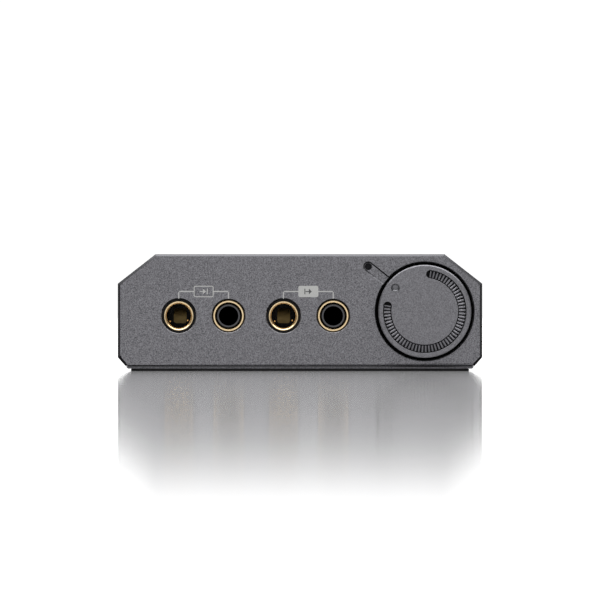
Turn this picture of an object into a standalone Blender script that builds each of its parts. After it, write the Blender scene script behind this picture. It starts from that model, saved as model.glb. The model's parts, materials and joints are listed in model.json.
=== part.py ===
"""Portable balanced headphone amplifier, at its real size, in metres, +Z up.

The amplifier lies on its rubber pad. The control panel faces -Y, the charging port faces +Y and the
three slide switches are on the -X side. The origin is the middle of the pad's underside.

The casing is a milled channel, closed by a front panel, a rear panel and a base plate. The plate's
screws go up into the feet of both panels and into two bosses of the channel. The board is screwed
up against four posts of the channel, and the battery lies over it in a cradle.
"""

import math

import bmesh
import bpy
from mathutils import Matrix, Vector

MM = 0.001

# Overall size
LENGTH = 150.0 * MM
WIDTH = 67.7 * MM
HEIGHT = 21.7 * MM  # from the pad's underside to the top face

# Outline of the casing, seen from the front
TOP_CORNER_RUN = 7.0 * MM
TOP_CORNER_DROP = 5.45 * MM
LOW_CORNER_RUN = 1.9 * MM
LOW_CORNER_RISE = 2.15 * MM
EDGE_BEVEL = 0.3 * MM

# Walls and the gaps between pieces
SIDE_WALL = 2.4 * MM
TOP_WALL = 1.6 * MM
CORNER_WALL = 1.8 * MM
FRONT_WALL = 5.0 * MM
REAR_WALL = 3.0 * MM
SEAT = 0.05 * MM  # between two pieces that rest on each other
SEAM = 0.1 * MM  # the line that shows where two casings meet
SLIP = 0.2 * MM  # round a piece that goes into another
REACH = 1.0 * MM  # how far a cutter runs past the face that it cuts

# Pad and base plate
PAD_THICKNESS = 0.4 * MM
PAD_INSET = 0.5 * MM
PAD_CORNER = 2.5 * MM
FLANGE_THICKNESS = 0.4 * MM
PLUG_THICKNESS = 0.75 * MM
FLANGE_LOW = PAD_THICKNESS + SEAT
FLANGE_TOP = FLANGE_LOW + FLANGE_THICKNESS
PLATE_TOP = FLANGE_TOP + PLUG_THICKNESS
WALL_LOW = FLANGE_TOP + SEAM

# Board
BOARD_THICKNESS = 1.6 * MM
BOARD_SIDE_GAP = 0.55 * MM
BOARD_END_GAP = 0.2 * MM
BOARD_LOW = 4.2 * MM
BOARD_TOP = BOARD_LOW + BOARD_THICKNESS
ON_BOARD = BOARD_TOP + SEAT

# Screws, and what they go into
SCREW_RADIUS = 0.8 * MM
SCREW_GRIP = 0.05 * MM
SCREW_SOCKET = 0.45 * MM
BASE_HEAD_RADIUS = 1.45 * MM
BASE_HEAD_DEPTH = 0.6 * MM
BOARD_HEAD_RADIUS = 1.6 * MM
BOARD_HEAD_DEPTH = 1.1 * MM
BOSS_SIZE = 4.4 * MM
BASE_SCREW_FROM_SIDE = 5.25 * MM
FOOT_SCREW_FROM_WALL = 2.7 * MM
POST_HEIGHT = 4.0 * MM
POST_GAP = 0.425 * MM  # between the board's posts and the side of the input jack
POST_FROM_FRONT = 18.0 * MM
POST_FROM_REAR = 17.0 * MM

# Tongues that locate the panels in the channel
TONGUE_THICKNESS = 1.2 * MM
TONGUE_REACH = 2.5 * MM
SIDE_TONGUE_LOW = 6.3 * MM
SIDE_TONGUE_TOP = 15.0 * MM
TOP_TONGUE_LEFT = -24.0 * MM
FRONT_TONGUE_RIGHT = 8.0 * MM
REAR_TONGUE_RIGHT = 24.0 * MM

# Jacks: a balanced and a single-ended one in each pair
JACK_HEIGHT = 10.25 * MM
JACK_PITCH = 9.25 * MM
PAIR_CENTRES = {"input": -17.9 * MM, "output": 1.55 * MM}
NOZZLE_GAP = 0.1 * MM
BALANCED_BORE = 2.25 * MM
BALANCED_SLEEVE = 2.8 * MM
BALANCED_NOZZLE = 3.1 * MM
BALANCED_BODY = (8.2 * MM, 8.8 * MM, 15.0 * MM)  # width, height, depth
BALANCED_SLEEVE_LENGTH = 14.5 * MM
BALANCED_SLEEVE_SUNK = 0.3 * MM
BALANCED_NOZZLE_SUNK = 0.7 * MM
BALANCED_PLUG_DEPTH = 18.6 * MM
CONTACT_SIZE = (2.5 * MM, 3.0 * MM, 0.25 * MM)
SINGLE_BORE = 1.8 * MM
SINGLE_NOZZLE = 2.15 * MM
SINGLE_COLLAR = (2.42 * MM, 2.83 * MM)  # inner and outer radius
SINGLE_HOLE = 3.07 * MM
SINGLE_BODY = (7.0 * MM, 7.8 * MM, 12.0 * MM)
SINGLE_NOZZLE_SUNK = 0.45 * MM
SINGLE_COLLAR_SUNK = 0.2 * MM
SINGLE_PLUG_DEPTH = 14.5 * MM

# Volume control
KNOB_X = 23.15 * MM
KNOB_HEIGHT = 11.1 * MM
KNOB_RADIUS = 8.63 * MM
KNOB_GAP = 0.54 * MM
KNOB_PROUD = 1.5 * MM
KNOB_BEVEL = 0.2 * MM
RECESS_DEPTH = 3.4 * MM
KNOB_LIFT = 0.3 * MM  # between the knob's back and the recess's floor
GROOVE_RADIUS = 6.97 * MM
GROOVE_WIDTH = 1.5 * MM
GROOVE_DEPTH = 0.7 * MM
GROOVE_FIRST = 81.5  # degrees, anticlockwise from the right
GROOVE_SPAN = 270.0  # degrees, clockwise from there
RIB_PITCH = 5.0  # degrees
RIB_HEIGHT = 0.5 * MM
INDEX_ANGLE = 141.5  # degrees; the dimple points this way at rest
DIMPLE_RADIUS = 0.8 * MM
DIMPLE_DEPTH = 0.45 * MM
CHANNEL_REACH = 13.36 * MM  # from the knob's axis to the status light
CHANNEL_WIDTH = 1.42 * MM
CHANNEL_DEPTH = 0.25 * MM
LIGHT_RADIUS = 0.6 * MM
LIGHT_GAP = 0.07 * MM
LIGHT_SUNK = 0.45 * MM
SHAFT_RADIUS = 2.0 * MM
SHAFT_GAP = 0.08 * MM
SHAFT_TIP = 0.9 * MM  # metal left in front of the shaft
BUSHING_RADIUS = 3.0 * MM
BUSHING_GAP = 0.1 * MM
NUT_RADIUS = 4.6 * MM
NUT_THICKNESS = 0.9 * MM
WASHER_RADIUS = 4.4 * MM
WASHER_THICKNESS = 0.3 * MM
POCKET_RADIUS = 5.4 * MM
POT_WIDTH = 9.6 * MM
POT_DEPTH = 7.0 * MM
POT_FROM_PANEL = 0.7 * MM
POT_ABOVE_AXIS = 5.3 * MM

# Slide switches on the left side: distance from the front face, and travel
SLIDERS = {
    "gain": (27.0 * MM, 2.0 * MM),
    "bias": (41.0 * MM, 4.0 * MM),
    "crossfeed": (55.0 * MM, 2.0 * MM),
}
THREE_POSITIONS = ("bias",)
SLIDER_HEIGHT = 7.7 * MM
CAP_LENGTH = 5.0 * MM
CAP_HEIGHT = 3.0 * MM
CAP_THICKNESS = 0.8 * MM
CAP_SUNK = 0.15 * MM
CAP_GAP = 0.3 * MM
CAP_RIBS = 4
CAP_RIB_DEPTH = 0.25 * MM
STEM_SIZE = 1.6 * MM
STEM_LENGTH = 3.65 * MM
SWITCH_BODY = (9.4 * MM, 3.7 * MM, 4.0 * MM)  # length, height, depth
SWITCH_FROM_FACE = 3.15 * MM

# Rear panel: power button, charging port and charge light
BUTTON_X = -16.0 * MM
BUTTON_HEIGHT = 8.3 * MM
BUTTON_RADIUS = 2.4 * MM
BUTTON_GAP = 0.15 * MM
BUTTON_PROUD = 0.3 * MM
BUTTON_TRAVEL = 0.4 * MM
BUTTON_FLANGE = 3.0 * MM
BUTTON_FLANGE_THICKNESS = 0.6 * MM
BUTTON_SHOULDER = 1.8 * MM  # from the rear face to the shoulder that stops the flange
BUTTON_STEM = 1.0 * MM
TACT_BODY = (6.0 * MM, 3.5 * MM)  # width, depth
TACT_ABOVE_AXIS = 2.0 * MM
USB_OUTER = (8.94 * MM, 3.26 * MM)
USB_WALL = 0.32 * MM
USB_DEPTH = 7.3 * MM
USB_SUNK = 0.4 * MM
USB_HOLE_GAP = 0.28 * MM
USB_TONGUE = (6.7 * MM, 0.7 * MM)
USB_TONGUE_SUNK = 1.1 * MM
USB_BLOCK_DEPTH = 1.8 * MM
CHARGE_X = 13.0 * MM
CHARGE_RADIUS = 0.75 * MM
CHARGE_LENGTH = 4.75 * MM
LED_SIZE = 1.6 * MM

# Battery and what holds it
BATTERY_WIDTH = 52.0 * MM
BATTERY_LENGTH = 88.0 * MM
BATTERY_FROM_REAR = 13.0 * MM
CRADLE_LOW = 8.05 * MM
CRADLE_THICKNESS = 0.85 * MM
CRADLE_RIM = 0.2 * MM
CRADLE_LEG = 3.0 * MM
FOAM_THICKNESS = 1.1 * MM
FOAM_INSET = 5.0 * MM
STRIP_SIZE = (24.0 * MM, 2.4 * MM, 5.0 * MM)  # the cell's terminal strip
LEAD_RADIUS = 0.55 * MM
LEAD_SPACING = 2.0 * MM
LEAD_BEND = 1.9 * MM
SOCKET_X = 10.0 * MM
SOCKET_FROM_FRONT = 43.5 * MM
SOCKET_SIZE = (6.0 * MM, 4.5 * MM, 4.0 * MM)
SOCKET_WALL = 0.6 * MM
PLUG_HEIGHT = 5.0 * MM

# Parts on the board behind the jacks, as distances from the front face
SHIELD_X = (-24.5 * MM, 1.0 * MM)
SHIELD_DEPTHS = (24.0 * MM, 43.0 * MM)
SHIELD_HEIGHT = 4.4 * MM
SHIELD_WALL = 0.4 * MM
CHIP_SIZE = (5.0 * MM, 6.2 * MM, 1.5 * MM)
CAPACITOR_PLACES = [(x, depth) for depth in (29.0 * MM, 37.0 * MM) for x in (6.0 * MM, 13.5 * MM)]
CAPACITOR_RADIUS = 3.15 * MM
CAPACITOR_HEIGHT = 7.5 * MM
INDUCTOR_SIZE = (7.5 * MM, 7.5 * MM, 4.5 * MM)
INDUCTOR_PLACE = (24.0 * MM, 33.0 * MM)

# Places that follow from the sizes above
FRONT = -LENGTH / 2
REAR = LENGTH / 2
HALF = WIDTH / 2
SHOULDER = HEIGHT - TOP_CORNER_DROP
LOW_CORNER_TOP = PAD_THICKNESS + LOW_CORNER_RISE
INNER_HALF = HALF - SIDE_WALL
INNER_TOP = HEIGHT - TOP_WALL
BACK_OF_FRONT = FRONT + FRONT_WALL
FACE_OF_REAR = REAR - REAR_WALL
BASE_SCREW_X = HALF - BASE_SCREW_FROM_SIDE
BASE_SCREW_PLACES = [
    (side * BASE_SCREW_X, y)
    for y in (BACK_OF_FRONT + FOOT_SCREW_FROM_WALL, 0.0, FACE_OF_REAR - FOOT_SCREW_FROM_WALL)
    for side in (-1, 1)
]
JACKS_SIDE = JACK_PITCH / 2 - PAIR_CENTRES["input"] + BALANCED_BODY[0] / 2
POST_WIDTH = INNER_HALF - JACKS_SIDE - POST_GAP
POST_X = INNER_HALF - POST_WIDTH / 2
POST_ROWS = (FRONT + POST_FROM_FRONT, REAR - POST_FROM_REAR)
POST_PLACES = [(side * POST_X, y) for y in POST_ROWS for side in (-1, 1)]
RECESS_RADIUS = KNOB_RADIUS + KNOB_GAP
INDEX_DIRECTION = Vector((math.cos(math.radians(INDEX_ANGLE)), math.sin(math.radians(INDEX_ANGLE))))
LIGHT_X = KNOB_X + CHANNEL_REACH * INDEX_DIRECTION.x
LIGHT_HEIGHT = KNOB_HEIGHT + CHANNEL_REACH * INDEX_DIRECTION.y

# A frame that stands on a face: its x runs to the right and its y up as seen by someone who looks
# at that face, and its z points out of it.
FACING = {
    "front": (math.pi / 2, 0, 0),
    "rear": (math.pi / 2, 0, math.pi),
    "left": (math.pi / 2, 0, -math.pi / 2),
    "up": (0, 0, 0),
}


def clear_scene():
    for obj in list(bpy.data.objects):
        bpy.data.objects.remove(obj)
    parts = bpy.data.collections.new("headphone_amplifier")
    tools = bpy.data.collections.new("cutters")
    for collection in (parts, tools):
        bpy.context.scene.collection.children.link(collection)
    return parts, tools


PARTS, TOOLS = clear_scene()


def material(name, colour, roughness, metallic):
    made = bpy.data.materials.new(name)
    made.use_nodes = True
    shader = made.node_tree.nodes["Principled BSDF"]
    shader.inputs["Base Color"].default_value = (*colour, 1)
    shader.inputs["Roughness"].default_value = roughness
    shader.inputs["Metallic"].default_value = metallic
    return made


ANODISED = material("anodised_aluminium", (0.16, 0.16, 0.17), 0.45, 0.9)
GOLD = material("gold_plate", (0.9, 0.66, 0.32), 0.2, 1.0)
STEEL = material("steel", (0.55, 0.55, 0.56), 0.35, 1.0)
TIN = material("tinned_steel", (0.7, 0.7, 0.7), 0.4, 1.0)
BLACK_PLASTIC = material("black_plastic", (0.015, 0.015, 0.016), 0.45, 0.0)
RUBBER = material("rubber", (0.02, 0.02, 0.02), 0.85, 0.0)
BOARD_GREEN = material("board", (0.02, 0.09, 0.05), 0.5, 0.0)
CELL_FOIL = material("cell_foil", (0.6, 0.6, 0.62), 0.4, 0.6)
FOAM = material("foam", (0.05, 0.05, 0.05), 0.95, 0.0)
SMOKED_LENS = material("smoked_lens", (0.02, 0.02, 0.02), 0.15, 0.0)
CLEAR_LENS = material("clear_lens", (0.8, 0.8, 0.8), 0.15, 0.0)
RED_SLEEVE = material("red_insulation", (0.5, 0.02, 0.02), 0.5, 0.0)


# --- Shapes ---------------------------------------------------------------------------------------


def mesh_from(build):
    """A mesh that build(bm) fills in."""
    mesh = bpy.data.meshes.new("shape")
    bm = bmesh.new()
    build(bm)
    bm.to_mesh(mesh)
    bm.free()
    return mesh


def box(low, high):
    size = Vector(high) - Vector(low)
    middle = (Vector(high) + Vector(low)) / 2
    place = Matrix.Translation(middle) @ Matrix.Diagonal((*size, 1))
    return mesh_from(lambda bm: bmesh.ops.create_cube(bm, size=1, matrix=place))


def rod(radius, low, high, at=(0, 0), segments=20, high_radius=None):
    """A cylinder along z from low to high, or a cone if high_radius is given."""
    place = Matrix.Translation((*at, (low + high) / 2))

    def build(bm):
        bmesh.ops.create_cone(
            bm,
            cap_ends=True,
            segments=segments,
            radius1=radius,
            radius2=radius if high_radius is None else high_radius,
            depth=high - low,
            matrix=place,
        )

    return mesh_from(build)


def outline(points, low, high):
    """A flat outline in x and y, made solid along z from low to high."""
    curve = bpy.data.curves.new("outline", "CURVE")
    curve.dimensions = "2D"
    curve.fill_mode = "BOTH"
    curve.extrude = (high - low) / 2
    spline = curve.splines.new("POLY")
    spline.points.add(len(points) - 1)
    for point, (x, y) in zip(spline.points, points):
        point.co = (x, y, 0, 1)
    spline.use_cyclic_u = True
    guide = bpy.data.objects.new("outline", curve)
    TOOLS.objects.link(guide)
    mesh = bpy.data.meshes.new_from_object(guide.evaluated_get(bpy.context.evaluated_depsgraph_get()))
    bpy.data.objects.remove(guide)
    bm = bmesh.new()
    bm.from_mesh(mesh)
    bmesh.ops.remove_doubles(bm, verts=bm.verts, dist=1e-7)
    bmesh.ops.dissolve_limit(bm, angle_limit=1e-4, verts=bm.verts, edges=bm.edges)
    bmesh.ops.recalc_face_normals(bm, faces=bm.faces)
    bmesh.ops.translate(bm, verts=bm.verts, vec=(0, 0, (high + low) / 2))
    bm.to_mesh(mesh)
    bm.free()
    return mesh


def arc(centre, radius, first, last, steps):
    """Points on an arc, with its angles in degrees."""
    turns = [math.radians(first + (last - first) * step / steps) for step in range(steps + 1)]
    return [(centre[0] + radius * math.cos(t), centre[1] + radius * math.sin(t)) for t in turns]


def rounded(width, height, radius, steps=4):
    """A rectangle's outline about the origin, with round corners."""
    x = width / 2 - radius
    y = height / 2 - radius
    corners = [((x, -y), -90), ((x, y), 0), ((-x, y), 90), ((-x, -y), 180)]
    return [point for centre, first in corners for point in arc(centre, radius, first, first + 90, steps)]


def bevelled(mesh, width, chosen):
    """Bevels the edges whose two ends both pass chosen(co)."""
    bm = bmesh.new()
    bm.from_mesh(mesh)
    edges = [edge for edge in bm.edges if all(chosen(vert.co) for vert in edge.verts)]
    bmesh.ops.bevel(
        bm, geom=edges, offset=width, segments=1, profile=0.5, affect="EDGES", material=-1, clamp_overlap=True
    )
    bm.to_mesh(mesh)
    bm.free()
    return mesh


# --- Objects --------------------------------------------------------------------------------------


def stand(name, location, facing):
    """An empty that carries the pieces of one control, in the frame of the face it is on."""
    empty = bpy.data.objects.new(name, None)
    empty.location = location
    empty.rotation_euler = FACING[facing]
    PARTS.objects.link(empty)
    return empty


def part(name, mesh, finish, parent=None, location=(0, 0, 0), smooth=True):
    obj = bpy.data.objects.new(name, mesh)
    obj.parent = parent
    obj.location = location
    PARTS.objects.link(obj)
    mesh.materials.append(finish)
    if smooth:
        mesh.shade_smooth()
        mesh.set_sharp_from_angle(angle=math.radians(35))
    return obj


def tool(mesh, parent=None, location=(0, 0, 0)):
    """A shape that is only cut from, or joined to, a part."""
    obj = bpy.data.objects.new("tool", mesh)
    obj.parent = parent
    obj.location = location
    obj.hide_render = True
    obj.display_type = "WIRE"
    return obj


def combine(obj, operation, tools):
    """One Boolean modifier for all the tools. They must not overlap each other."""
    group = bpy.data.collections.new(f"{obj.name}_{operation.lower()}")
    TOOLS.children.link(group)
    for helper in tools:
        group.objects.link(helper)
    modifier = obj.modifiers.new(operation.lower(), "BOOLEAN")
    modifier.operation = operation
    modifier.operand_type = "COLLECTION"
    modifier.collection = group
    modifier.solver = "EXACT"
    return obj


def joined(obj, *tools):
    return combine(obj, "UNION", tools)


def cut(obj, *tools):
    return combine(obj, "DIFFERENCE", tools)


def turned(name, profile, finish, parent=None, location=(0, 0, 0), steps=24):
    """A solid of revolution about z. The profile's (radius, z) points run down its outer side."""
    mesh = bpy.data.meshes.new(name)
    bm = bmesh.new()
    verts = [bm.verts.new((radius, 0, z)) for radius, z in profile]
    for first, second in zip(verts, verts[1:] + verts[:1]):
        if first.co.x > 0 or second.co.x > 0:
            bm.edges.new((first, second))
    bm.to_mesh(mesh)
    bm.free()
    obj = bpy.data.objects.new(name, mesh)
    obj.parent = parent
    obj.location = location
    PARTS.objects.link(obj)
    mesh.materials.append(finish)
    screw = obj.modifiers.new("turn", "SCREW")
    screw.steps = steps
    screw.render_steps = steps
    screw.use_merge_vertices = True
    screw.merge_threshold = 1e-6
    screw.use_smooth_shade = True
    return obj


def wire(name, points, radius, finish):
    """A round bar or lead along the points."""
    curve = bpy.data.curves.new(name, "CURVE")
    curve.dimensions = "3D"
    curve.bevel_depth = radius
    curve.bevel_resolution = 2
    curve.use_fill_caps = True
    spline = curve.splines.new("POLY")
    spline.points.add(len(points) - 1)
    for point, place in zip(spline.points, points):
        point.co = (*place, 1)
    obj = bpy.data.objects.new(name, curve)
    PARTS.objects.link(obj)
    curve.materials.append(finish)
    return obj


# --- Casing ---------------------------------------------------------------------------------------


def low_corner_x(height):
    """Half the casing's width at a height inside its low corners."""
    return HALF - LOW_CORNER_RUN * (LOW_CORNER_TOP - height) / LOW_CORNER_RISE


def casing_outline():
    top = HALF - TOP_CORNER_RUN
    right = [(low_corner_x(WALL_LOW), WALL_LOW), (HALF, LOW_CORNER_TOP), (HALF, SHOULDER), (top, HEIGHT)]
    return right + [(-x, z) for x, z in reversed(right)]


def cavity_outline():
    """The channel's inside, open below, with its corners parallel to the outer ones."""
    slant = math.hypot(TOP_CORNER_RUN, TOP_CORNER_DROP)
    level = TOP_CORNER_DROP * HALF + TOP_CORNER_RUN * SHOULDER - CORNER_WALL * slant
    corner_low = (level - TOP_CORNER_DROP * INNER_HALF) / TOP_CORNER_RUN
    corner_top = (level - TOP_CORNER_RUN * INNER_TOP) / TOP_CORNER_DROP
    right = [(INNER_HALF, WALL_LOW - REACH), (INNER_HALF, corner_low), (corner_top, INNER_TOP)]
    return right + [(-x, z) for x, z in reversed(right)]


def make_housing(front):
    """The channel: top, sides and corners, with bosses, board posts and the switch slots."""
    near = -FRONT_WALL - SEAM
    far = -(LENGTH - REAR_WALL - SEAM)
    housing = part("housing", outline(casing_outline(), far, near), ANODISED, front)
    cut(housing, tool(outline(cavity_outline(), far - REACH, near + REACH), front))
    into_wall = SIDE_WALL / 2
    blocks = []
    for x, y in POST_PLACES:
        side = math.copysign(1, x)
        inner, outer = side * (INNER_HALF - POST_WIDTH), side * (INNER_HALF + into_wall)
        low = (min(inner, outer), y - BOSS_SIZE / 2, ON_BOARD)
        high = (max(inner, outer), y + BOSS_SIZE / 2, ON_BOARD + POST_HEIGHT)
        blocks.append(tool(box(low, high)))
    for side in (-1, 1):
        inner, outer = side * (BASE_SCREW_X - BOSS_SIZE / 2), side * (INNER_HALF + into_wall)
        low = (min(inner, outer), -BOSS_SIZE / 2, PLATE_TOP + SEAT)
        high = (max(inner, outer), BOSS_SIZE / 2, BOARD_LOW - 2 * SEAT)
        blocks.append(tool(box(low, high)))
    joined(housing, *blocks)
    pilot = SCREW_RADIUS + SCREW_GRIP
    holes = [tool(rod(pilot, ON_BOARD - REACH, ON_BOARD + POST_HEIGHT - REACH, at, 12)) for at in POST_PLACES]
    middle = [at for at in BASE_SCREW_PLACES if at[1] == 0]
    holes += [tool(rod(pilot, PLATE_TOP - REACH, BOARD_LOW - 4 * SEAT, at, 12)) for at in middle]
    slots = []
    for depth, travel in SLIDERS.values():
        side = stand("slot_frame", (-HALF, FRONT + depth, SLIDER_HEIGHT), "left")
        length = CAP_LENGTH + travel + 2 * CAP_GAP
        height = CAP_HEIGHT + 2 * CAP_GAP
        shape = rounded(length, height, height / 4)
        slots.append(tool(outline(shape, -CAP_SUNK - CAP_THICKNESS - SLIP, REACH), side))
        reach = STEM_SIZE / 2 + travel / 2 + SLIP
        across = STEM_SIZE / 2 + SLIP
        through = box((-reach, -across, -SIDE_WALL - REACH), (reach, across, -CAP_SUNK - CAP_THICKNESS))
        slots.append(tool(through, side))
    cut(housing, *holes, *slots[0::2])
    cut(housing, *slots[1::2])
    return housing


def panel_blocks(parent, wall, top_right):
    """The feet and tongues behind a panel, in the frame of its face. They overlap it a little."""
    near = -wall + SEAM
    blocks = []
    for side in (-1, 1):
        foot_in = side * (BASE_SCREW_X - BOSS_SIZE / 2)
        foot_out = side * (BASE_SCREW_X + BOSS_SIZE / 2)
        foot_low = (min(foot_in, foot_out), PLATE_TOP + SEAT, -wall - 2 * FOOT_SCREW_FROM_WALL)
        foot_high = (max(foot_in, foot_out), BOARD_LOW - 2 * SEAT, near)
        blocks.append(tool(box(foot_low, foot_high), parent))
        outer = side * (INNER_HALF - SLIP)
        inner = side * (INNER_HALF - SLIP - TONGUE_THICKNESS)
        tongue_low = (min(inner, outer), SIDE_TONGUE_LOW, -wall - TONGUE_REACH)
        blocks.append(tool(box(tongue_low, (max(inner, outer), SIDE_TONGUE_TOP, near)), parent))
    top = INNER_TOP - SLIP
    low = (TOP_TONGUE_LEFT, top - TONGUE_THICKNESS, -wall - TONGUE_REACH)
    blocks.append(tool(box(low, (top_right, top, near)), parent))
    return blocks


def foot_holes(rows):
    pilot = SCREW_RADIUS + SCREW_GRIP
    return [tool(rod(pilot, PLATE_TOP - REACH, BOARD_LOW - 4 * SEAT, at, 12)) for at in rows]


def make_front_panel(front):
    """The control panel: jack holes, the knob's recess, and the index channel with its light."""
    body = outline(casing_outline(), -FRONT_WALL, 0)
    panel = part("front_panel", bevelled(body, EDGE_BEVEL, lambda co: co.z > -MM / 10), ANODISED, front)
    joined(panel, *panel_blocks(front, FRONT_WALL, FRONT_TONGUE_RIGHT))
    through = (-FRONT_WALL - REACH, REACH)
    holes = []
    for middle in PAIR_CENTRES.values():
        left, right = (middle - JACK_PITCH / 2, JACK_HEIGHT), (middle + JACK_PITCH / 2, JACK_HEIGHT)
        holes.append(tool(rod(BALANCED_NOZZLE + NOZZLE_GAP, *through, left, 32), front))
        holes.append(tool(rod(SINGLE_HOLE, *through, right, 32), front))
    knob_at = (KNOB_X, KNOB_HEIGHT)
    holes.append(tool(rod(RECESS_RADIUS, -RECESS_DEPTH, REACH, knob_at, 48), front))
    holes.append(tool(rod(LIGHT_RADIUS + LIGHT_GAP, *through, (LIGHT_X, LIGHT_HEIGHT), 12), front))
    cut(panel, *holes, *foot_holes(BASE_SCREW_PLACES[:2]))
    half = CHANNEL_WIDTH / 2
    inside = RECESS_RADIUS - CHANNEL_WIDTH
    channel = [*arc((CHANNEL_REACH, 0), half, -90, 90, 8), (inside, half), (inside, -half)]
    groove = tool(outline(channel, -CHANNEL_DEPTH, REACH), front, (*knob_at, 0))
    groove.rotation_euler = (0, 0, math.radians(INDEX_ANGLE))
    cut(panel, groove)
    bushing_hole = rod(BUSHING_RADIUS + BUSHING_GAP, -FRONT_WALL - REACH, -RECESS_DEPTH + REACH, knob_at)
    cut(panel, tool(bushing_hole, front))
    return panel


def make_rear_panel(rear):
    body = outline(casing_outline(), -REAR_WALL, 0)
    panel = part("rear_panel", bevelled(body, EDGE_BEVEL, lambda co: co.z > -MM / 10), ANODISED, rear)
    joined(panel, *panel_blocks(rear, REAR_WALL, REAR_TONGUE_RIGHT))
    through = (-REAR_WALL - REACH, REACH)
    width, height = (size + 2 * USB_HOLE_GAP for size in USB_OUTER)
    port = outline(rounded(width, height, height / 2 - MM / 100, 6), *through)
    button_at = (-BUTTON_X, BUTTON_HEIGHT)
    holes = [
        tool(port, rear, (0, ON_BOARD + USB_OUTER[1] / 2, 0)),
        tool(rod(BUTTON_RADIUS + BUTTON_GAP, *through, button_at, 24), rear),
        tool(rod(CHARGE_RADIUS + LIGHT_GAP, *through, (-CHARGE_X, ON_BOARD + USB_OUTER[1] / 2), 12), rear),
    ]
    cut(panel, *holes, *foot_holes(BASE_SCREW_PLACES[4:]))
    shoulder = rod(BUTTON_FLANGE + SLIP, -REAR_WALL - REACH, -BUTTON_SHOULDER, button_at, 24)
    cut(panel, tool(shoulder, rear))
    return panel


def make_base(front):
    """The base plate: a flange as wide as the casing, and a plug that fills the channel's mouth."""
    flange = [
        (-low_corner_x(FLANGE_LOW), FLANGE_LOW),
        (low_corner_x(FLANGE_LOW), FLANGE_LOW),
        (low_corner_x(FLANGE_TOP), FLANGE_TOP),
        (-low_corner_x(FLANGE_TOP), FLANGE_TOP),
    ]
    plate = part("base_plate", outline(flange, -LENGTH, 0), ANODISED, front)
    half = INNER_HALF - SLIP
    plug_low = (-half, BACK_OF_FRONT + SLIP, (FLANGE_LOW + FLANGE_TOP) / 2)
    plug = box(plug_low, (half, FACE_OF_REAR - SLIP, PLATE_TOP))
    joined(plate, tool(plug))
    spread = BASE_HEAD_RADIUS - SCREW_RADIUS
    sink_low, sink_high = FLANGE_LOW - SEAT, FLANGE_LOW + BASE_HEAD_DEPTH
    holes = []
    sinks = []
    for at in BASE_SCREW_PLACES:
        holes.append(tool(rod(SCREW_RADIUS + SLIP, FLANGE_LOW - REACH, PLATE_TOP + REACH, at, 16)))
        wide = SCREW_RADIUS + SLIP + spread
        sinks.append(tool(rod(wide, sink_low, sink_high, at, 16, SCREW_RADIUS + SLIP)))
    cut(plate, *sinks)
    cut(plate, *holes)
    pad_size = (2 * (low_corner_x(PAD_THICKNESS) - PAD_INSET), LENGTH - 2 * PAD_INSET)
    part("base_pad", outline(rounded(*pad_size, PAD_CORNER, 5), 0, PAD_THICKNESS), RUBBER)


def make_screws():
    """Countersunk screws under the pad, and pan-headed ones that hold the board."""
    tip = BOARD_LOW - 6 * SEAT
    low = FLANGE_LOW
    for number, at in enumerate(BASE_SCREW_PLACES, 1):
        profile = [
            (0, tip),
            (SCREW_RADIUS, tip),
            (SCREW_RADIUS, low + BASE_HEAD_DEPTH),
            (BASE_HEAD_RADIUS, low),
            (SCREW_SOCKET, low),
            (SCREW_SOCKET, low + BASE_HEAD_DEPTH / 2),
            (0, low + BASE_HEAD_DEPTH / 2),
        ]
        turned(f"base_screw_{number}", profile, STEEL, None, (*at, 0), 12)
    seat = BOARD_LOW - SEAT
    tip = ON_BOARD + POST_HEIGHT - 1.4 * REACH
    for number, at in enumerate(POST_PLACES, 1):
        profile = [
            (0, tip),
            (SCREW_RADIUS, tip),
            (SCREW_RADIUS, seat),
            (BOARD_HEAD_RADIUS, seat),
            (BOARD_HEAD_RADIUS, seat - BOARD_HEAD_DEPTH),
            (SCREW_SOCKET, seat - BOARD_HEAD_DEPTH),
            (SCREW_SOCKET, seat - BOARD_HEAD_DEPTH / 2),
            (0, seat - BOARD_HEAD_DEPTH / 2),
        ]
        turned(f"board_screw_{number}", profile, STEEL, None, (*at, 0), 12)


# --- Jacks ----------------------------------------------------------------------------------------


def make_balanced_jack(name, x, front):
    """A socket for a 4.4 mm plug: a plastic body, a gold-plated sleeve and a contact at its end."""
    axis = stand(f"{name}_axis", (x, FRONT, JACK_HEIGHT), "front")
    width, height, depth = BALANCED_BODY
    face = -FRONT_WALL - 2 * SEAT
    foot = ON_BOARD - JACK_HEIGHT
    shape = box((-width / 2, foot, face - depth), (width / 2, foot + height, face))
    body = part(f"{name}_jack", shape, BLACK_PLASTIC, axis)
    joined(body, tool(rod(BALANCED_NOZZLE, face - MM, -BALANCED_NOZZLE_SUNK, segments=32), axis))
    sleeve_end = -BALANCED_SLEEVE_SUNK - BALANCED_SLEEVE_LENGTH
    cut(body, tool(rod(BALANCED_SLEEVE + SEAT, sleeve_end - SEAT, REACH, segments=32), axis))
    cut(body, tool(rod(BALANCED_BORE, -BALANCED_PLUG_DEPTH, sleeve_end + REACH, segments=24), axis))
    lip = (BALANCED_SLEEVE - BALANCED_BORE) / 2
    crest = arc((BALANCED_BORE + lip, -BALANCED_SLEEVE_SUNK - lip), lip, 180, 0, 4)
    profile = [*crest, (BALANCED_SLEEVE, sleeve_end), (BALANCED_BORE, sleeve_end)]
    turned(f"{name}_sleeve", profile, GOLD, axis, steps=32)
    wide, high, thick = CONTACT_SIZE
    back = -BALANCED_PLUG_DEPTH + SLIP
    contact = box((-wide / 2, -high / 2, back), (wide / 2, high / 2, back + thick))
    part(f"{name}_contact", contact, GOLD, axis)


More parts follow.
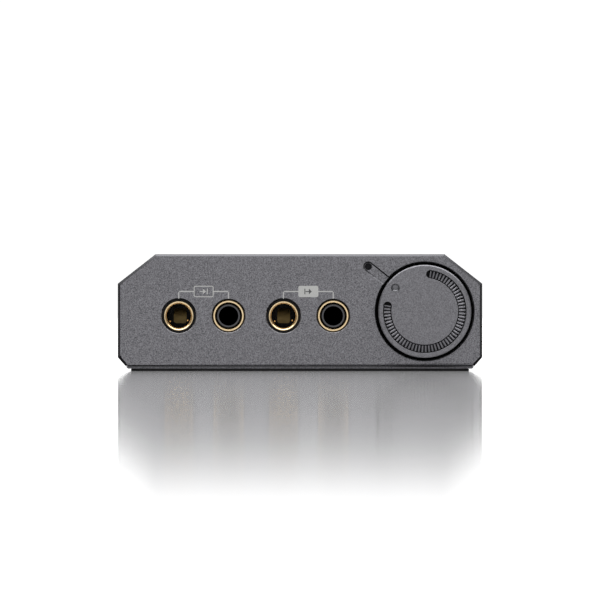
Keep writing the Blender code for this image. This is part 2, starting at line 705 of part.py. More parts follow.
def make_single_jack(name, x, front):
    """A socket for a 3.5 mm plug: a plastic body with its nozzle, inside a gold-plated collar."""
    axis = stand(f"{name}_axis", (x, FRONT, JACK_HEIGHT), "front")
    width, height, depth = SINGLE_BODY
    face = -FRONT_WALL - 2 * SEAT
    foot = ON_BOARD - JACK_HEIGHT
    shape = box((-width / 2, foot, face - depth), (width / 2, foot + height, face))
    body = part(f"{name}_jack", shape, BLACK_PLASTIC, axis)
    joined(body, tool(rod(SINGLE_NOZZLE, face - MM, -SINGLE_NOZZLE_SUNK, segments=24), axis))
    cut(body, tool(rod(SINGLE_BORE, -SINGLE_PLUG_DEPTH, REACH, segments=24), axis))
    inner, outer = SINGLE_COLLAR
    lip = (outer - inner) / 2
    crest = arc((inner + lip, -SINGLE_COLLAR_SUNK - lip), lip, 180, 0, 4)
    profile = [*crest, (outer, face + SEAT), (inner, face + SEAT)]
    turned(f"{name}_collar", profile, GOLD, axis, steps=28)


# --- Volume control -------------------------------------------------------------------------------


def make_volume_control():
    """The knob with its ribbed groove and dimple, the shaft, and the potentiometer behind them."""
    axis = stand("volume_axis", (KNOB_X, FRONT, KNOB_HEIGHT), "front")
    back = -RECESS_DEPTH + KNOB_LIFT
    nut_low = -RECESS_DEPTH + SEAT + WASHER_THICKNESS + SEAT
    bushing_tip = nut_low + NUT_THICKNESS + 2 * SEAT
    pocket = bushing_tip + KNOB_LIFT
    shaft_tip = KNOB_PROUD - SHAFT_TIP
    hub = SHAFT_RADIUS + SEAT
    profile = [
        (0, KNOB_PROUD),
        (KNOB_RADIUS - KNOB_BEVEL, KNOB_PROUD),
        (KNOB_RADIUS, KNOB_PROUD - KNOB_BEVEL),
        (KNOB_RADIUS, back),
        (POCKET_RADIUS, back),
        (POCKET_RADIUS, pocket),
        (hub, pocket),
        (hub, shaft_tip + SEAT),
        (0, shaft_tip + SEAT),
    ]
    knob = turned("volume_knob", profile, ANODISED, axis, steps=60)
    inner = GROOVE_RADIUS - GROOVE_WIDTH / 2
    outer = GROOVE_RADIUS + GROOVE_WIDTH / 2
    last = GROOVE_FIRST - GROOVE_SPAN
    end_1 = arc((0, 0), GROOVE_RADIUS, GROOVE_FIRST, GROOVE_FIRST, 1)[0]
    end_2 = arc((0, 0), GROOVE_RADIUS, last, last, 1)[0]
    groove = (
        arc((0, 0), outer, GROOVE_FIRST, last, 54)
        + arc(end_2, GROOVE_WIDTH / 2, last, last - 180, 6)[1:-1]
        + arc((0, 0), inner, last, GROOVE_FIRST, 54)
        + arc(end_1, GROOVE_WIDTH / 2, GROOVE_FIRST + 180, GROOVE_FIRST, 6)[1:-1]
    )
    floor = KNOB_PROUD - GROOVE_DEPTH
    dimple_sphere = (DIMPLE_RADIUS**2 + DIMPLE_DEPTH**2) / (2 * DIMPLE_DEPTH)
    dimple_at = (*(GROOVE_RADIUS * INDEX_DIRECTION), KNOB_PROUD - DIMPLE_DEPTH + dimple_sphere)
    ball = mesh_from(
        lambda bm: bmesh.ops.create_uvsphere(bm, u_segments=20, v_segments=14, radius=dimple_sphere)
    )
    cut(knob, tool(outline(groove, floor, KNOB_PROUD + REACH), axis), tool(ball, axis, dimple_at))
    ribs = []
    rib_round = RIB_HEIGHT / 1.5  # from a three-sided bar's middle to its edges, when it is as tall as a rib
    rib_middle = floor + RIB_HEIGHT - rib_round
    for step in range(1, round(GROOVE_SPAN / RIB_PITCH)):
        bar = rod(rib_round, inner - SLIP, outer + SLIP, segments=3)
        rib = tool(bar, axis, (0, 0, rib_middle))
        turn = math.radians(GROOVE_FIRST - step * RIB_PITCH)
        rib.rotation_mode = "QUATERNION"
        along = Matrix.Rotation(turn, 3, "Z") @ Matrix.Rotation(math.pi / 2, 3, "Y")
        rib.rotation_quaternion = (along @ Matrix.Rotation(math.pi / 2, 3, "Z")).to_quaternion()
        ribs.append(rib)
    joined(knob, *ribs)

    pot_face = -FRONT_WALL - POT_FROM_PANEL
    shaft_end = pot_face - POT_DEPTH / 2
    shaft = rod(SHAFT_RADIUS, shaft_end + 2 * SEAT, shaft_tip, segments=24)
    part("volume_shaft", shaft, STEEL, axis)
    foot = ON_BOARD - KNOB_HEIGHT
    low = (-POT_WIDTH / 2, foot, pot_face - POT_DEPTH)
    pot = part("volume_potentiometer", box(low, (POT_WIDTH / 2, POT_ABOVE_AXIS, pot_face)), TIN, axis)
    joined(pot, tool(rod(BUSHING_RADIUS, pot_face - MM, bushing_tip), axis))
    cut(pot, tool(rod(SHAFT_RADIUS + SHAFT_GAP, shaft_end, bushing_tip + REACH, segments=24), axis))
    bore = BUSHING_RADIUS + SEAT
    washer_low = -RECESS_DEPTH + SEAT
    washer = part("volume_washer", rod(WASHER_RADIUS, washer_low, washer_low + WASHER_THICKNESS), STEEL, axis)
    nut = part("volume_nut", rod(NUT_RADIUS, nut_low, nut_low + NUT_THICKNESS, segments=6), STEEL, axis)
    for ring in (washer, nut):
        cut(ring, tool(rod(bore, -FRONT_WALL, bushing_tip + REACH), axis))


def make_status_light():
    """A light pipe from the end of the index channel, bent down to its light on the board."""
    y_bend = BACK_OF_FRONT + 1.4 * MM
    bend = 1.5 * MM
    tip = (LIGHT_X, FRONT + LIGHT_SUNK, LIGHT_HEIGHT)
    corner = [
        (LIGHT_X, y, z)
        for y, z in arc((y_bend - bend, LIGHT_HEIGHT - bend), bend, 90, 0, 5)
    ]
    led_top = ON_BOARD + LED_SIZE * 0.7
    wire("status_light_pipe", [tip, *corner, (LIGHT_X, y_bend, led_top + SEAT)], LIGHT_RADIUS, SMOKED_LENS)
    half = LED_SIZE / 2
    led = box((LIGHT_X - half, y_bend - half, ON_BOARD), (LIGHT_X + half, y_bend + half, led_top))
    part("status_led", led, CLEAR_LENS)


# --- Side and rear controls -----------------------------------------------------------------------


def make_slider(name, depth, travel):
    """A ribbed cap whose stem goes through the wall into a slide switch on the board."""
    side = stand(f"{name}_frame", (-HALF, FRONT + depth, SLIDER_HEIGHT), "left")
    start = 0 if name in THREE_POSITIONS else -travel / 2
    top, low = -CAP_SUNK, -CAP_SUNK - CAP_THICKNESS
    shape = rounded(CAP_LENGTH, CAP_HEIGHT, CAP_HEIGHT / 4)
    cap = part(f"{name}_slider", outline(shape, low, top), ANODISED, side, (start, 0, 0))
    half = STEM_SIZE / 2
    stem = box((-half, -half, low - STEM_LENGTH), (half, half, low + CAP_THICKNESS / 2))
    joined(cap, tool(stem, side, (start, 0, 0)))
    pitch = CAP_LENGTH / (CAP_RIBS + 1)
    notches = []
    for number in range(CAP_RIBS):
        middle = start + (number - (CAP_RIBS - 1) / 2) * pitch
        notch_low = (middle - pitch / 4, -CAP_HEIGHT, top - CAP_RIB_DEPTH)
        notches.append(tool(box(notch_low, (middle + pitch / 4, CAP_HEIGHT, top + REACH)), side))
    cut(cap, *notches)
    length, height, thickness = SWITCH_BODY
    face = -SWITCH_FROM_FACE
    foot = ON_BOARD - SLIDER_HEIGHT
    body = box((-length / 2, foot, face - thickness), (length / 2, foot + height, face))
    switch = part(f"{name}_switch", body, TIN, side)
    reach = half + travel / 2 + SLIP
    slot_end = low - STEM_LENGTH - SLIP
    cut(switch, tool(box((-reach, -half - SLIP, slot_end), (reach, half + SLIP, face + REACH)), side))


def make_power_button(rear):
    """A round button that the rear panel's shoulder keeps in, and the switch that it presses."""
    axis = stand("power_axis", (BUTTON_X, REAR, BUTTON_HEIGHT), "rear")
    flange_top = -BUTTON_SHOULDER - SEAT
    flange_low = flange_top - BUTTON_FLANGE_THICKNESS
    stem_end = flange_low - 2.1 * MM
    bevel = KNOB_BEVEL
    profile = [
        (0, BUTTON_PROUD),
        (BUTTON_RADIUS - bevel, BUTTON_PROUD),
        (BUTTON_RADIUS, BUTTON_PROUD - bevel),
        (BUTTON_RADIUS, flange_top),
        (BUTTON_FLANGE, flange_top),
        (BUTTON_FLANGE, flange_low),
        (BUTTON_STEM, flange_low),
        (BUTTON_STEM, stem_end),
        (0, stem_end),
    ]
    turned("power_button", profile, ANODISED, axis, steps=24)
    width, depth = TACT_BODY
    face = stem_end - BUTTON_TRAVEL - SEAT
    foot = ON_BOARD - BUTTON_HEIGHT
    body = box((-width / 2, foot, face - depth), (width / 2, TACT_ABOVE_AXIS, face))
    part("power_switch", body, BLACK_PLASTIC, axis)


def make_charging_port():
    axis = stand("port_axis", (0, REAR, ON_BOARD + USB_OUTER[1] / 2), "rear")
    width, height = USB_OUTER
    back = -USB_SUNK - USB_DEPTH
    curve = height / 2 - MM / 100
    shell = part("usb_shell", outline(rounded(width, height, curve, 6), back, -USB_SUNK), TIN, axis)
    inside = (width - 2 * USB_WALL, height - 2 * USB_WALL)
    mouth = outline(rounded(*inside, inside[1] / 2 - MM / 100, 6), back + USB_WALL, REACH)
    cut(shell, tool(mouth, axis))
    block_low = back + USB_WALL + SEAT
    half_x, half_y = inside[0] / 2 - inside[1] / 2, inside[1] / 2 - SEAT
    block = box((-half_x, -half_y, block_low), (half_x, half_y, block_low + USB_BLOCK_DEPTH))
    tongue = part("usb_tongue", block, BLACK_PLASTIC, axis)
    wide, thick = USB_TONGUE
    blade = box((-wide / 2, -thick / 2, block_low + MM), (wide / 2, thick / 2, -USB_TONGUE_SUNK))
    # The block is narrower than the blade, so the blade carries on into it.
    joined(tongue, tool(blade, axis))


def make_charge_light():
    height = ON_BOARD + USB_OUTER[1] / 2
    axis = stand("charge_axis", (CHARGE_X, REAR, height), "rear")
    end = -SEAT - CHARGE_LENGTH
    part("charge_light_pipe", rod(CHARGE_RADIUS, end, -SEAT, segments=12), SMOKED_LENS, axis)
    half = LED_SIZE / 2
    low = (-half, ON_BOARD - height, end - SEAT - half)
    part("charge_led", box(low, (half, CHARGE_RADIUS, end - SEAT)), CLEAR_LENS, axis)


# --- Board and battery ----------------------------------------------------------------------------


def make_board():
    """The main board and the larger parts on it."""
    half = INNER_HALF - BOARD_SIDE_GAP
    low = (-half, BACK_OF_FRONT + BOARD_END_GAP, BOARD_LOW)
    high = (half, FACE_OF_REAR - BOARD_END_GAP, BOARD_TOP)
    board = part("main_board", box(low, high), BOARD_GREEN)
    clearance = SCREW_RADIUS + SLIP
    cut(board, *[tool(rod(clearance, BOARD_LOW - REACH, BOARD_TOP + REACH, at, 12)) for at in POST_PLACES])

    left, right = SHIELD_X
    near, far = (FRONT + depth for depth in SHIELD_DEPTHS)
    top = ON_BOARD + SHIELD_HEIGHT
    shield = part("amplifier_shield", box((left, near, ON_BOARD), (right, far, top)), TIN)
    wall = SHIELD_WALL
    hollow = box((left + wall, near + wall, ON_BOARD - REACH), (right - wall, far - wall, top - wall))
    cut(shield, tool(hollow))
    chip_x, chip_y, chip_z = CHIP_SIZE
    for name, share in (("left", 0.28), ("right", 0.72)):
        x = left + share * (right - left)
        y = (near + far) / 2
        chip_low = (x - chip_x / 2, y - chip_y / 2, ON_BOARD)
        chip = box(chip_low, (x + chip_x / 2, y + chip_y / 2, ON_BOARD + chip_z))
        part(f"amplifier_chip_{name}", chip, BLACK_PLASTIC)
    for number, (x, depth) in enumerate(CAPACITOR_PLACES, 1):
        can = rod(CAPACITOR_RADIUS, ON_BOARD, ON_BOARD + CAPACITOR_HEIGHT, segments=20)
        part(f"filter_capacitor_{number}", can, TIN, None, (x, FRONT + depth, 0))
    size = Vector(INDUCTOR_SIZE)
    x, depth = INDUCTOR_PLACE
    low = Vector((x, FRONT + depth, ON_BOARD + size.z / 2)) - size / 2
    part("power_inductor", box(low, low + size), BLACK_PLASTIC)


def make_battery():
    """The cell in its cradle, with foam above it, and its leads down to the plug on the board."""
    half = BATTERY_WIDTH / 2
    far = REAR - BATTERY_FROM_REAR
    near = far - BATTERY_LENGTH
    cell_low = CRADLE_LOW + CRADLE_THICKNESS + SEAT
    cell_top = INNER_TOP - SEAT - FOAM_THICKNESS - SEAT
    cell = part("battery", box((-half, near, cell_low), (half, far, cell_top)), CELL_FOIL)
    strip_x, strip_y, strip_z = STRIP_SIZE
    middle = (cell_low + cell_top) / 2
    strip_low = (-strip_x / 2, near - strip_y, middle - strip_z / 2)
    joined(cell, tool(box(strip_low, (strip_x / 2, near + REACH, middle + strip_z / 2))))

    rim = CRADLE_RIM
    cradle_low = (-half - rim, near - rim, CRADLE_LOW)
    cradle = part("battery_cradle", box(cradle_low, (half + rim, far + rim, cell_low - SEAT)), BLACK_PLASTIC)
    leg = CRADLE_LEG / 2
    legs = [
        tool(box((x - leg, y - leg, ON_BOARD), (x + leg, y + leg, CRADLE_LOW + CRADLE_THICKNESS / 2)))
        for x in (leg - half, half - leg)
        for y in (near + 2 * leg, far - 2 * leg)
    ]
    joined(cradle, *legs)
    foam_low = (-half + FOAM_INSET, near + FOAM_INSET, cell_top + SEAT)
    part("battery_foam", box(foam_low, (half - FOAM_INSET, far - FOAM_INSET, INNER_TOP - SEAT)), FOAM)

    wide, deep, high = SOCKET_SIZE
    y = FRONT + SOCKET_FROM_FRONT
    socket_low = (SOCKET_X - wide / 2, y - deep / 2, ON_BOARD)
    socket_high = (SOCKET_X + wide / 2, y + deep / 2, ON_BOARD + high)
    socket = part("battery_socket", box(socket_low, socket_high), BLACK_PLASTIC)
    wall = SOCKET_WALL
    well_low = (socket_low[0] + wall, socket_low[1] + wall, ON_BOARD + wall)
    cut(socket, tool(box(well_low, (socket_high[0] - wall, socket_high[1] - wall, socket_high[2] + REACH))))
    plug_low = (well_low[0] + SEAT, well_low[1] + SEAT, well_low[2] + SEAT)
    plug_top = plug_low[2] + PLUG_HEIGHT
    plug_high = (2 * SOCKET_X - plug_low[0], 2 * y - plug_low[1], plug_top)
    part("battery_plug", box(plug_low, plug_high), CLEAR_LENS)
    start = near - strip_y - SEAT
    bend = arc((y + LEAD_BEND, middle - LEAD_BEND), LEAD_BEND, 90, 180, 5)
    for name, side, finish in (("positive", 1, RED_SLEEVE), ("negative", -1, RUBBER)):
        x = SOCKET_X + side * LEAD_SPACING / 2
        route = [(x, start, middle), *((x, across, up) for across, up in bend), (x, y, plug_top + SEAT)]
        wire(f"battery_lead_{name}", route, LEAD_RADIUS, finish)


# --- Assembly -------------------------------------------------------------------------------------


def make_amplifier():
    front = stand("front_face", (0, FRONT, 0), "front")
    rear = stand("rear_face", (0, REAR, 0), "rear")
    make_housing(front)
    make_front_panel(front)
    make_rear_panel(rear)
    make_base(front)
    make_screws()
    for name, middle in PAIR_CENTRES.items():
        make_balanced_jack(f"{name}_balanced", middle - JACK_PITCH / 2, front)
        make_single_jack(f"{name}_single", middle + JACK_PITCH / 2, front)
    make_volume_control()
    make_status_light()
    for name, (depth, travel) in SLIDERS.items():
        make_slider(name, depth, travel)
    make_power_button(rear)
    make_charging_port()
    make_charge_light()
    make_board()
    make_battery()


make_amplifier()
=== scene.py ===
"""The finished look of a portable headphone amplifier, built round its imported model.

It is laid out as an add-on and run as a script. Each operator builds one piece or group of pieces.
Lengths are in metres. The panel faces -Y, and the amplifier lies on its pad at z = 0.
"""

import json
import math

import bmesh
import bpy
from mathutils import Matrix, Vector


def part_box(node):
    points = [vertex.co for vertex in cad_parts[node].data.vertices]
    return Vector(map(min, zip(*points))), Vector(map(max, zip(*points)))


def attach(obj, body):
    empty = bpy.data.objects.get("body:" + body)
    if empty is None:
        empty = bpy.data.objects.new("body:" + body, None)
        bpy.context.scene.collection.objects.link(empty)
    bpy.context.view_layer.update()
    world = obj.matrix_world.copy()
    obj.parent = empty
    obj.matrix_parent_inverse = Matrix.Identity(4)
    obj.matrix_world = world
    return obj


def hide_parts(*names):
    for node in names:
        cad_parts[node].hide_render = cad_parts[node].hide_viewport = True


bl_info = {
    "name": "Headphone Amplifier",
    "version": (1, 0, 0),
    "blender": (4, 5, 0),
    "location": "View3D > Sidebar > Amplifier",
    "description": "Builds the finished look of a portable headphone amplifier round its packed model",
    "category": "Object",
}

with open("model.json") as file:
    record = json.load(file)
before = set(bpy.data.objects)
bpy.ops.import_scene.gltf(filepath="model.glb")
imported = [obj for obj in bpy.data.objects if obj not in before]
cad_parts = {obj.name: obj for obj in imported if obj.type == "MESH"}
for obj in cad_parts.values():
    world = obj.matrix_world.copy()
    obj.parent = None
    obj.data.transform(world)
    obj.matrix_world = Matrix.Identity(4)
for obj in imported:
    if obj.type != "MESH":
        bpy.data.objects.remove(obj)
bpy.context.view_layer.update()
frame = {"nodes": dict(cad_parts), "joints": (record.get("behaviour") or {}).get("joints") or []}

MM = 0.001
TINY = 1e-6
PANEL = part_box("front_panel")
FRONT = PANEL[0].y
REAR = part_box("rear_panel")[1].y
SIDE = PANEL[0].x
TOP = PANEL[1].z
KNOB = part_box("volume_knob")
KNOB_X, KNOB_Z = ((low + high) / 2 for low, high in ((KNOB[0].x, KNOB[1].x), (KNOB[0].z, KNOB[1].z)))
KNOB_FACE = KNOB[0].y
LIGHT_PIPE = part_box("status_light_pipe")
LIGHT_RADIUS = (LIGHT_PIPE[1].x - LIGHT_PIPE[0].x) / 2
LIGHT_X = (LIGHT_PIPE[0].x + LIGHT_PIPE[1].x) / 2
LIGHT_Z = LIGHT_PIPE[1].z - LIGHT_RADIUS
PAIRS = ("input", "output")
KNOB_GAP = 0.54 * MM
RECESS_RADIUS = (KNOB[1].x - KNOB[0].x) / 2 + KNOB_GAP
RECESS_DEPTH = 3.4 * MM
CHANNEL_HALF = 0.71 * MM
CHANNEL_DEPTH = 0.25 * MM
CHANNEL_CHAMFER = 0.24 * MM
FRONT_WALL = 5 * MM
REAR_WALL = 3 * MM
PANEL_SKIN = 1.2 * MM  # how much of a panel is rebuilt; behind it the CAD's shape is kept
CHAMFER_MORE = 0.15 * MM
BALANCED_HOLE = 3.2 * MM
SINGLE_HOLE = 3.07 * MM
LIGHT_GAP = 0.07 * MM
BUTTON_HOLE = 2.55 * MM
CHARGE_HOLE = 0.82 * MM
PORT_GAP = 0.28 * MM
SHAVE = 0.004 * MM  # rounder holes are this much larger than the CAD's, so that they cut cleanly
SHAFT_BORE = 2.05 * MM
SHAFT_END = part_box("volume_shaft")[0].y - 0.05 * MM
PANEL_FINISHES = ["casing", "cut", "edge", "recess"]
# The panel's chamfers take lit and shaded copies of one finish: the edge finish is painted highlight, the recess
# finish painted shade.
CUT_FINISH, PAINTED_HIGHLIGHT_FINISH, PAINTED_SHADE_FINISH = 1, 2, 3


def middle(node):
    low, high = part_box(node)
    return (low + high) / 2


# --- What a user would change ---------------------------------------------------------------------


def length(name, description, millimetres):
    return bpy.props.FloatProperty(
        name=name, description=description, default=millimetres * MM, min=0.0, unit="LENGTH", precision=5
    )


def share(name, description, default):
    return bpy.props.FloatProperty(name=name, description=description, default=default, min=0.0, soft_max=1.0)


def colour(name, description, default):
    return bpy.props.FloatVectorProperty(
        name=name, description=description, default=default, size=3, min=0.0, max=1.0, subtype="COLOR"
    )


class AmplifierSizes(bpy.types.PropertyGroup):
    """Sizes of the edges, the print and the stage."""

    edge_round: length("Edge rounding", "Rounding of the casing's crisp edges", 0.08)
    hole_chamfer: length("Hole chamfer", "Chamfer round the holes of the panel", 0.12)
    rib_height: length("Rib height", "Height of the ribs in the knob's groove", 0.27)
    rib_width: length("Rib width", "Width of one rib at its foot", 0.4)
    print_line: length("Printed line", "Width of the printed lines", 0.2)
    print_box_width: length("Printed box width", "Width of the box between two jacks", 3.7)
    print_box_height: length("Printed box height", "Height of the box between two jacks", 2.1)
    print_height: length("Print height", "Height of the printed line above the ground", 14.78)
    print_drop: length("Print drop", "Length of the lines that point down at the jacks", 1.33)
    camera_distance: length("Camera distance", "From the camera to the panel", 1400.0)
    frame_width: length("Frame width", "Width of the view at the panel", 111.44)
    camera_height: length("Camera height", "Height of the camera above the ground", 13.2)
    floor_size: length("Floor size", "Side of the square floor", 8000.0)


class AmplifierFinish(bpy.types.PropertyGroup):
    """Colours and roughnesses of the finishes, and the strength of the light."""

    anodised: colour("Anodised", "Colour of the casing and the knob", (0.179, 0.177, 0.19))
    anodised_roughness: share("Anodised roughness", "Roughness of the blasted surface", 0.44)
    cut_edge: colour("Cut edge", "Colour of the chamfers", (0.045, 0.045, 0.048))
    grain: share("Grain", "Contrast of the blasted surface's grain", 1.0)
    gold: colour("Gold", "Colour of the plated sleeves and collars", (0.84, 0.68, 0.44))
    paint: colour("Paint", "Colour of the printed lines", (0.42, 0.42, 0.41))
    backdrop: share("Backdrop", "Brightness of the backdrop", 1.05)
    front_fill: share("Front fill", "Extra light from the front", 0.66)
    back_light: share("Back light", "Extra light from behind", 1.15)
    top_light: share("Top light", "Extra light from above", 0.1)
    side_light: share("Side light", "Light from all round", 0.35)
    softbox: bpy.props.FloatProperty(
        name="Softbox", description="Power of the softbox overhead", default=8.4, min=0.0, unit="POWER"
    )


# --- Materials ------------------------------------------------------------------------------------


class Signal:
    """One output in a graph of nodes. Arithmetic on it adds Math nodes."""

    def __init__(self, graph, socket):
        self.graph = graph
        self.socket = socket

    def math(self, operation, *values):
        return self.graph.add("ShaderNodeMath", {"operation": operation}, dict(enumerate(values)))

    def __add__(self, other):
        return self.math("ADD", self, other)

    def __mul__(self, other):
        return self.math("MULTIPLY", self, other)

    def __sub__(self, other):
        return self.math("SUBTRACT", self, other)

    def __rsub__(self, other):
        return self.math("SUBTRACT", other, self)

    def __pow__(self, other):
        return self.math("POWER", self, other)

    def at_least(self, level):
        return self.math("MAXIMUM", self, level)

    __radd__ = __add__
    __rmul__ = __mul__


class Graph:
    """A tree of nodes that is being written."""

    def __init__(self, tree):
        self.tree = tree
        tree.nodes.clear()

    def add(self, kind, settings=(), inputs=(), output=0):
        """A node of that kind, with its settings and then its sockets, as the signal it gives."""
        node = self.tree.nodes.new(kind)
        for key, value in dict(settings).items():
            if key == "stops":
                set_stops(node.color_ramp, value)
            else:
                setattr(node, key, value)
        for key, value in dict(inputs).items():
            if isinstance(value, Signal):
                self.tree.links.new(value.socket, node.inputs[key])
            else:
                node.inputs[key].default_value = value
        return Signal(self, node.outputs[output]) if node.outputs else node


def set_stops(ramp, stops):
    for position, level in stops[2:]:
        ramp.elements.new(position)
    for element, (position, level) in zip(ramp.elements, stops):
        element.position = position
        element.color = (level, level, level, 1)


class Finish(Graph):
    """A material: one Principled shader, and the patterns that vary it over the surface."""

    def __init__(self, name, **constants):
        self.material = bpy.data.materials.new(name)
        self.material.use_nodes = True
        super().__init__(self.material.node_tree)
        self.constants = by_socket(constants)
        self.place = self.add("ShaderNodeTexCoord", output="Object")

    def turned(self, centre=(0, 0, 0), scale=(1, 1, 1)):
        """The place on the surface, measured from a centre and stretched."""
        offset = [-c * s for c, s in zip(centre, scale)]
        return self.add("ShaderNodeMapping", {}, {"Vector": self.place, "Location": offset, "Scale": scale})

    def noise(self, size, detail=2.0, place=None):
        """Noise from 0 to 1 whose spots are about that size."""
        return self.add(
            "ShaderNodeTexNoise", {}, {"Vector": place or self.place, "Scale": 1 / size, "Detail": detail}
        )

    def cells(self, size, feature="F1"):
        inputs = {"Vector": self.place, "Scale": 1 / size}
        return self.add("ShaderNodeTexVoronoi", {"feature": feature}, inputs)

    def ramp(self, signal, *stops):
        return self.add("ShaderNodeValToRGB", {"stops": stops}, {"Fac": signal})

    def mixed(self, factor, first, second):
        """A colour between two colours."""
        first, second = (value if isinstance(value, Signal) else (*value, 1) for value in (first, second))
        return self.add("ShaderNodeMix", {"data_type": "RGBA"}, {0: factor, 6: first, 7: second}, output=2)

    def bumps(self, height, depth, under=None):
        """Normals of a surface with that height, from 0 to 1, times that depth."""
        inputs = {"Height": height, "Distance": depth, "Strength": 1.0}
        if under:
            inputs["Normal"] = under
        return self.add("ShaderNodeBump", {}, inputs)

    def done(self, **varying):
        inputs = {**self.constants, **by_socket(varying)}
        inputs["Base Color"] = opaque(inputs["Base Color"])
        shader = self.add("ShaderNodeBsdfPrincipled", {}, inputs)
        self.add("ShaderNodeOutputMaterial", {}, {"Surface": shader})
        return self.material


def by_socket(values):
    """Values under the names of the shader's sockets."""
    return {key.replace("_", " ").title().replace("Ior", "IOR"): value for key, value in values.items()}


def opaque(value):
    return value if isinstance(value, Signal) else (*value, 1)


def scaled(tint, factor):
    return tuple(channel * factor for channel in tint)


def anodised(name, tint, roughness, grain):
    """Bead-blasted aluminium, anodised grey: a fine sparkle over slow changes of tone."""
    finish = Finish(name, metallic=1.0)
    sparkle = finish.noise(0.19 * MM, 1.0)
    cloud = finish.noise(9 * MM, 2.0)
    tone = (sparkle - 0.5) * (grain * 2.0) + (cloud - 0.5) * 0.05 + 0.5
    shade = finish.mixed(tone, scaled(tint, 0.4), scaled(tint, 1.6))
    blasted = finish.bumps(finish.noise(0.2 * MM, 2.0), 0.014 * MM)
    return finish.done(
        base_color=shade, roughness=(cloud - 0.5) * 0.04 + (sparkle - 0.5) * 0.2 + roughness, normal=blasted
    )


def cut_metal(name, tint, roughness=0.24):
    """Chamfers that were cut after blasting: smoother, with fine tool marks."""
    finish = Finish(name, metallic=1.0)
    marks = finish.noise(0.4 * MM, 3.0)
    shade = finish.mixed(marks, scaled(tint, 0.85), scaled(tint, 1.15))
    return finish.done(base_color=shade, roughness=(marks - 0.5) * 0.12 + roughness)


def gold_plate(name, tint, roughness):
    """Gold over turned brass: faint rings of the tool, and slight tarnish."""
    finish = Finish(name, metallic=1.0)
    tarnish = finish.noise(1.1 * MM, 3.0)
    shade = finish.mixed(tarnish, tint, tuple(c * s for c, s in zip(tint, (0.86, 0.78, 0.66))))
    fine = finish.noise(0.12 * MM, 1.0, finish.turned(scale=(0.2, 4.0, 0.2)))
    return finish.done(
        base_color=shade, roughness=(tarnish - 0.5) * 0.1 + roughness, normal=finish.bumps(fine, 0.002 * MM)
    )


def plastic(name, tint, roughness, bumps=0.004, spots=0.25, gloss=0.5):
    """Moulded plastic with a faint texture."""
    finish = Finish(name, metallic=0.0, specular_ior_level=gloss)
    cloud = finish.noise(2.5 * MM, 2.0)
    shade = finish.mixed(cloud, scaled(tint, 0.85), scaled(tint, 1.2))
    texture = finish.bumps(finish.noise(spots * MM, 2.0), bumps * MM)
    return finish.done(base_color=shade, roughness=(cloud - 0.5) * 0.1 + roughness, normal=texture)


def rubber_pad(name):
    """Matte black rubber with a fine pebble."""
    finish = Finish(name, metallic=0.0)
    pebble = finish.cells(0.7 * MM)
    dust = finish.noise(9 * MM, 4.0)
    shade = finish.mixed(dust, (0.012, 0.012, 0.013), (0.026, 0.026, 0.027))
    return finish.done(
        base_color=shade, roughness=(dust - 0.5) * 0.15 + 0.8, normal=finish.bumps(pebble, 0.03 * MM)
    )


def rolled_metal(name, tint, roughness=0.32):
    """Plated sheet or screw steel with short rolling marks."""
    finish = Finish(name, metallic=1.0)
    marks = finish.noise(0.15 * MM, 2.0, finish.turned(scale=(1.0, 0.12, 1.0)))
    stain = finish.noise(3 * MM, 3.0)
    shade = finish.mixed(stain, scaled(tint, 0.8), tint)
    return finish.done(
        base_color=shade, roughness=(stain - 0.5) * 0.16 + roughness, normal=finish.bumps(marks, 0.003 * MM)
    )


def printed(name, tint):
    """Screen-printed ink that follows the blasted surface."""
    finish = Finish(name, metallic=0.0)
    speckle = finish.noise(0.16 * MM, 2.0)
    shade = finish.mixed(speckle, scaled(tint, 0.8), scaled(tint, 1.15))
    return finish.done(base_color=shade, roughness=(speckle - 0.5) * 0.1 + 0.6)


def smoked(name):
    """A dark light pipe with a glossy tip."""
    finish = Finish(name, metallic=0.0, specular_ior_level=0.1)
    depth = finish.noise(0.5 * MM, 2.0)
    shade = finish.mixed(depth, (0.002, 0.002, 0.003), (0.008, 0.008, 0.01))
    return finish.done(base_color=shade, roughness=(depth - 0.5) * 0.1 + 0.22)


def circuit_board(name):
    """Green solder mask over copper tracks."""
    finish = Finish(name, metallic=0.0, coat_weight=0.4)
    tracks = finish.cells(2.2 * MM, "DISTANCE_TO_EDGE")
    copper = finish.ramp(tracks, (0.03, 1.0), (0.06, 0.0))
    shade = finish.mixed(copper, (0.008, 0.06, 0.032), (0.02, 0.13, 0.06))
    return finish.done(base_color=shade, roughness=0.35, normal=finish.bumps(copper, 0.03 * MM))


def battery_foil(name):
    """The cell's laminated foil, slightly creased."""
    finish = Finish(name, metallic=0.7)
    creases = finish.noise(7 * MM, 3.0)
    shade = finish.mixed(creases, (0.5, 0.5, 0.53), (0.66, 0.66, 0.67))
    return finish.done(
        base_color=shade, roughness=(creases - 0.5) * 0.2 + 0.36, normal=finish.bumps(creases, 0.3 * MM)
    )


def foam(name):
    finish = Finish(name, metallic=0.0)
    pores = finish.cells(0.5 * MM)
    shade = finish.mixed(pores, (0.02, 0.02, 0.02), (0.07, 0.07, 0.07))
    return finish.done(base_color=shade, roughness=0.95, normal=finish.bumps(pores, 0.2 * MM))


def pale_floor(name):
    """A satin white table top."""
    finish = Finish(name, metallic=0.0, roughness=0.075)
    tone = finish.noise(0.9, 1.0)
    return finish.done(base_color=finish.mixed(tone, (0.62, 0.62, 0.625), (0.65, 0.65, 0.65)))


MATERIALS = {}


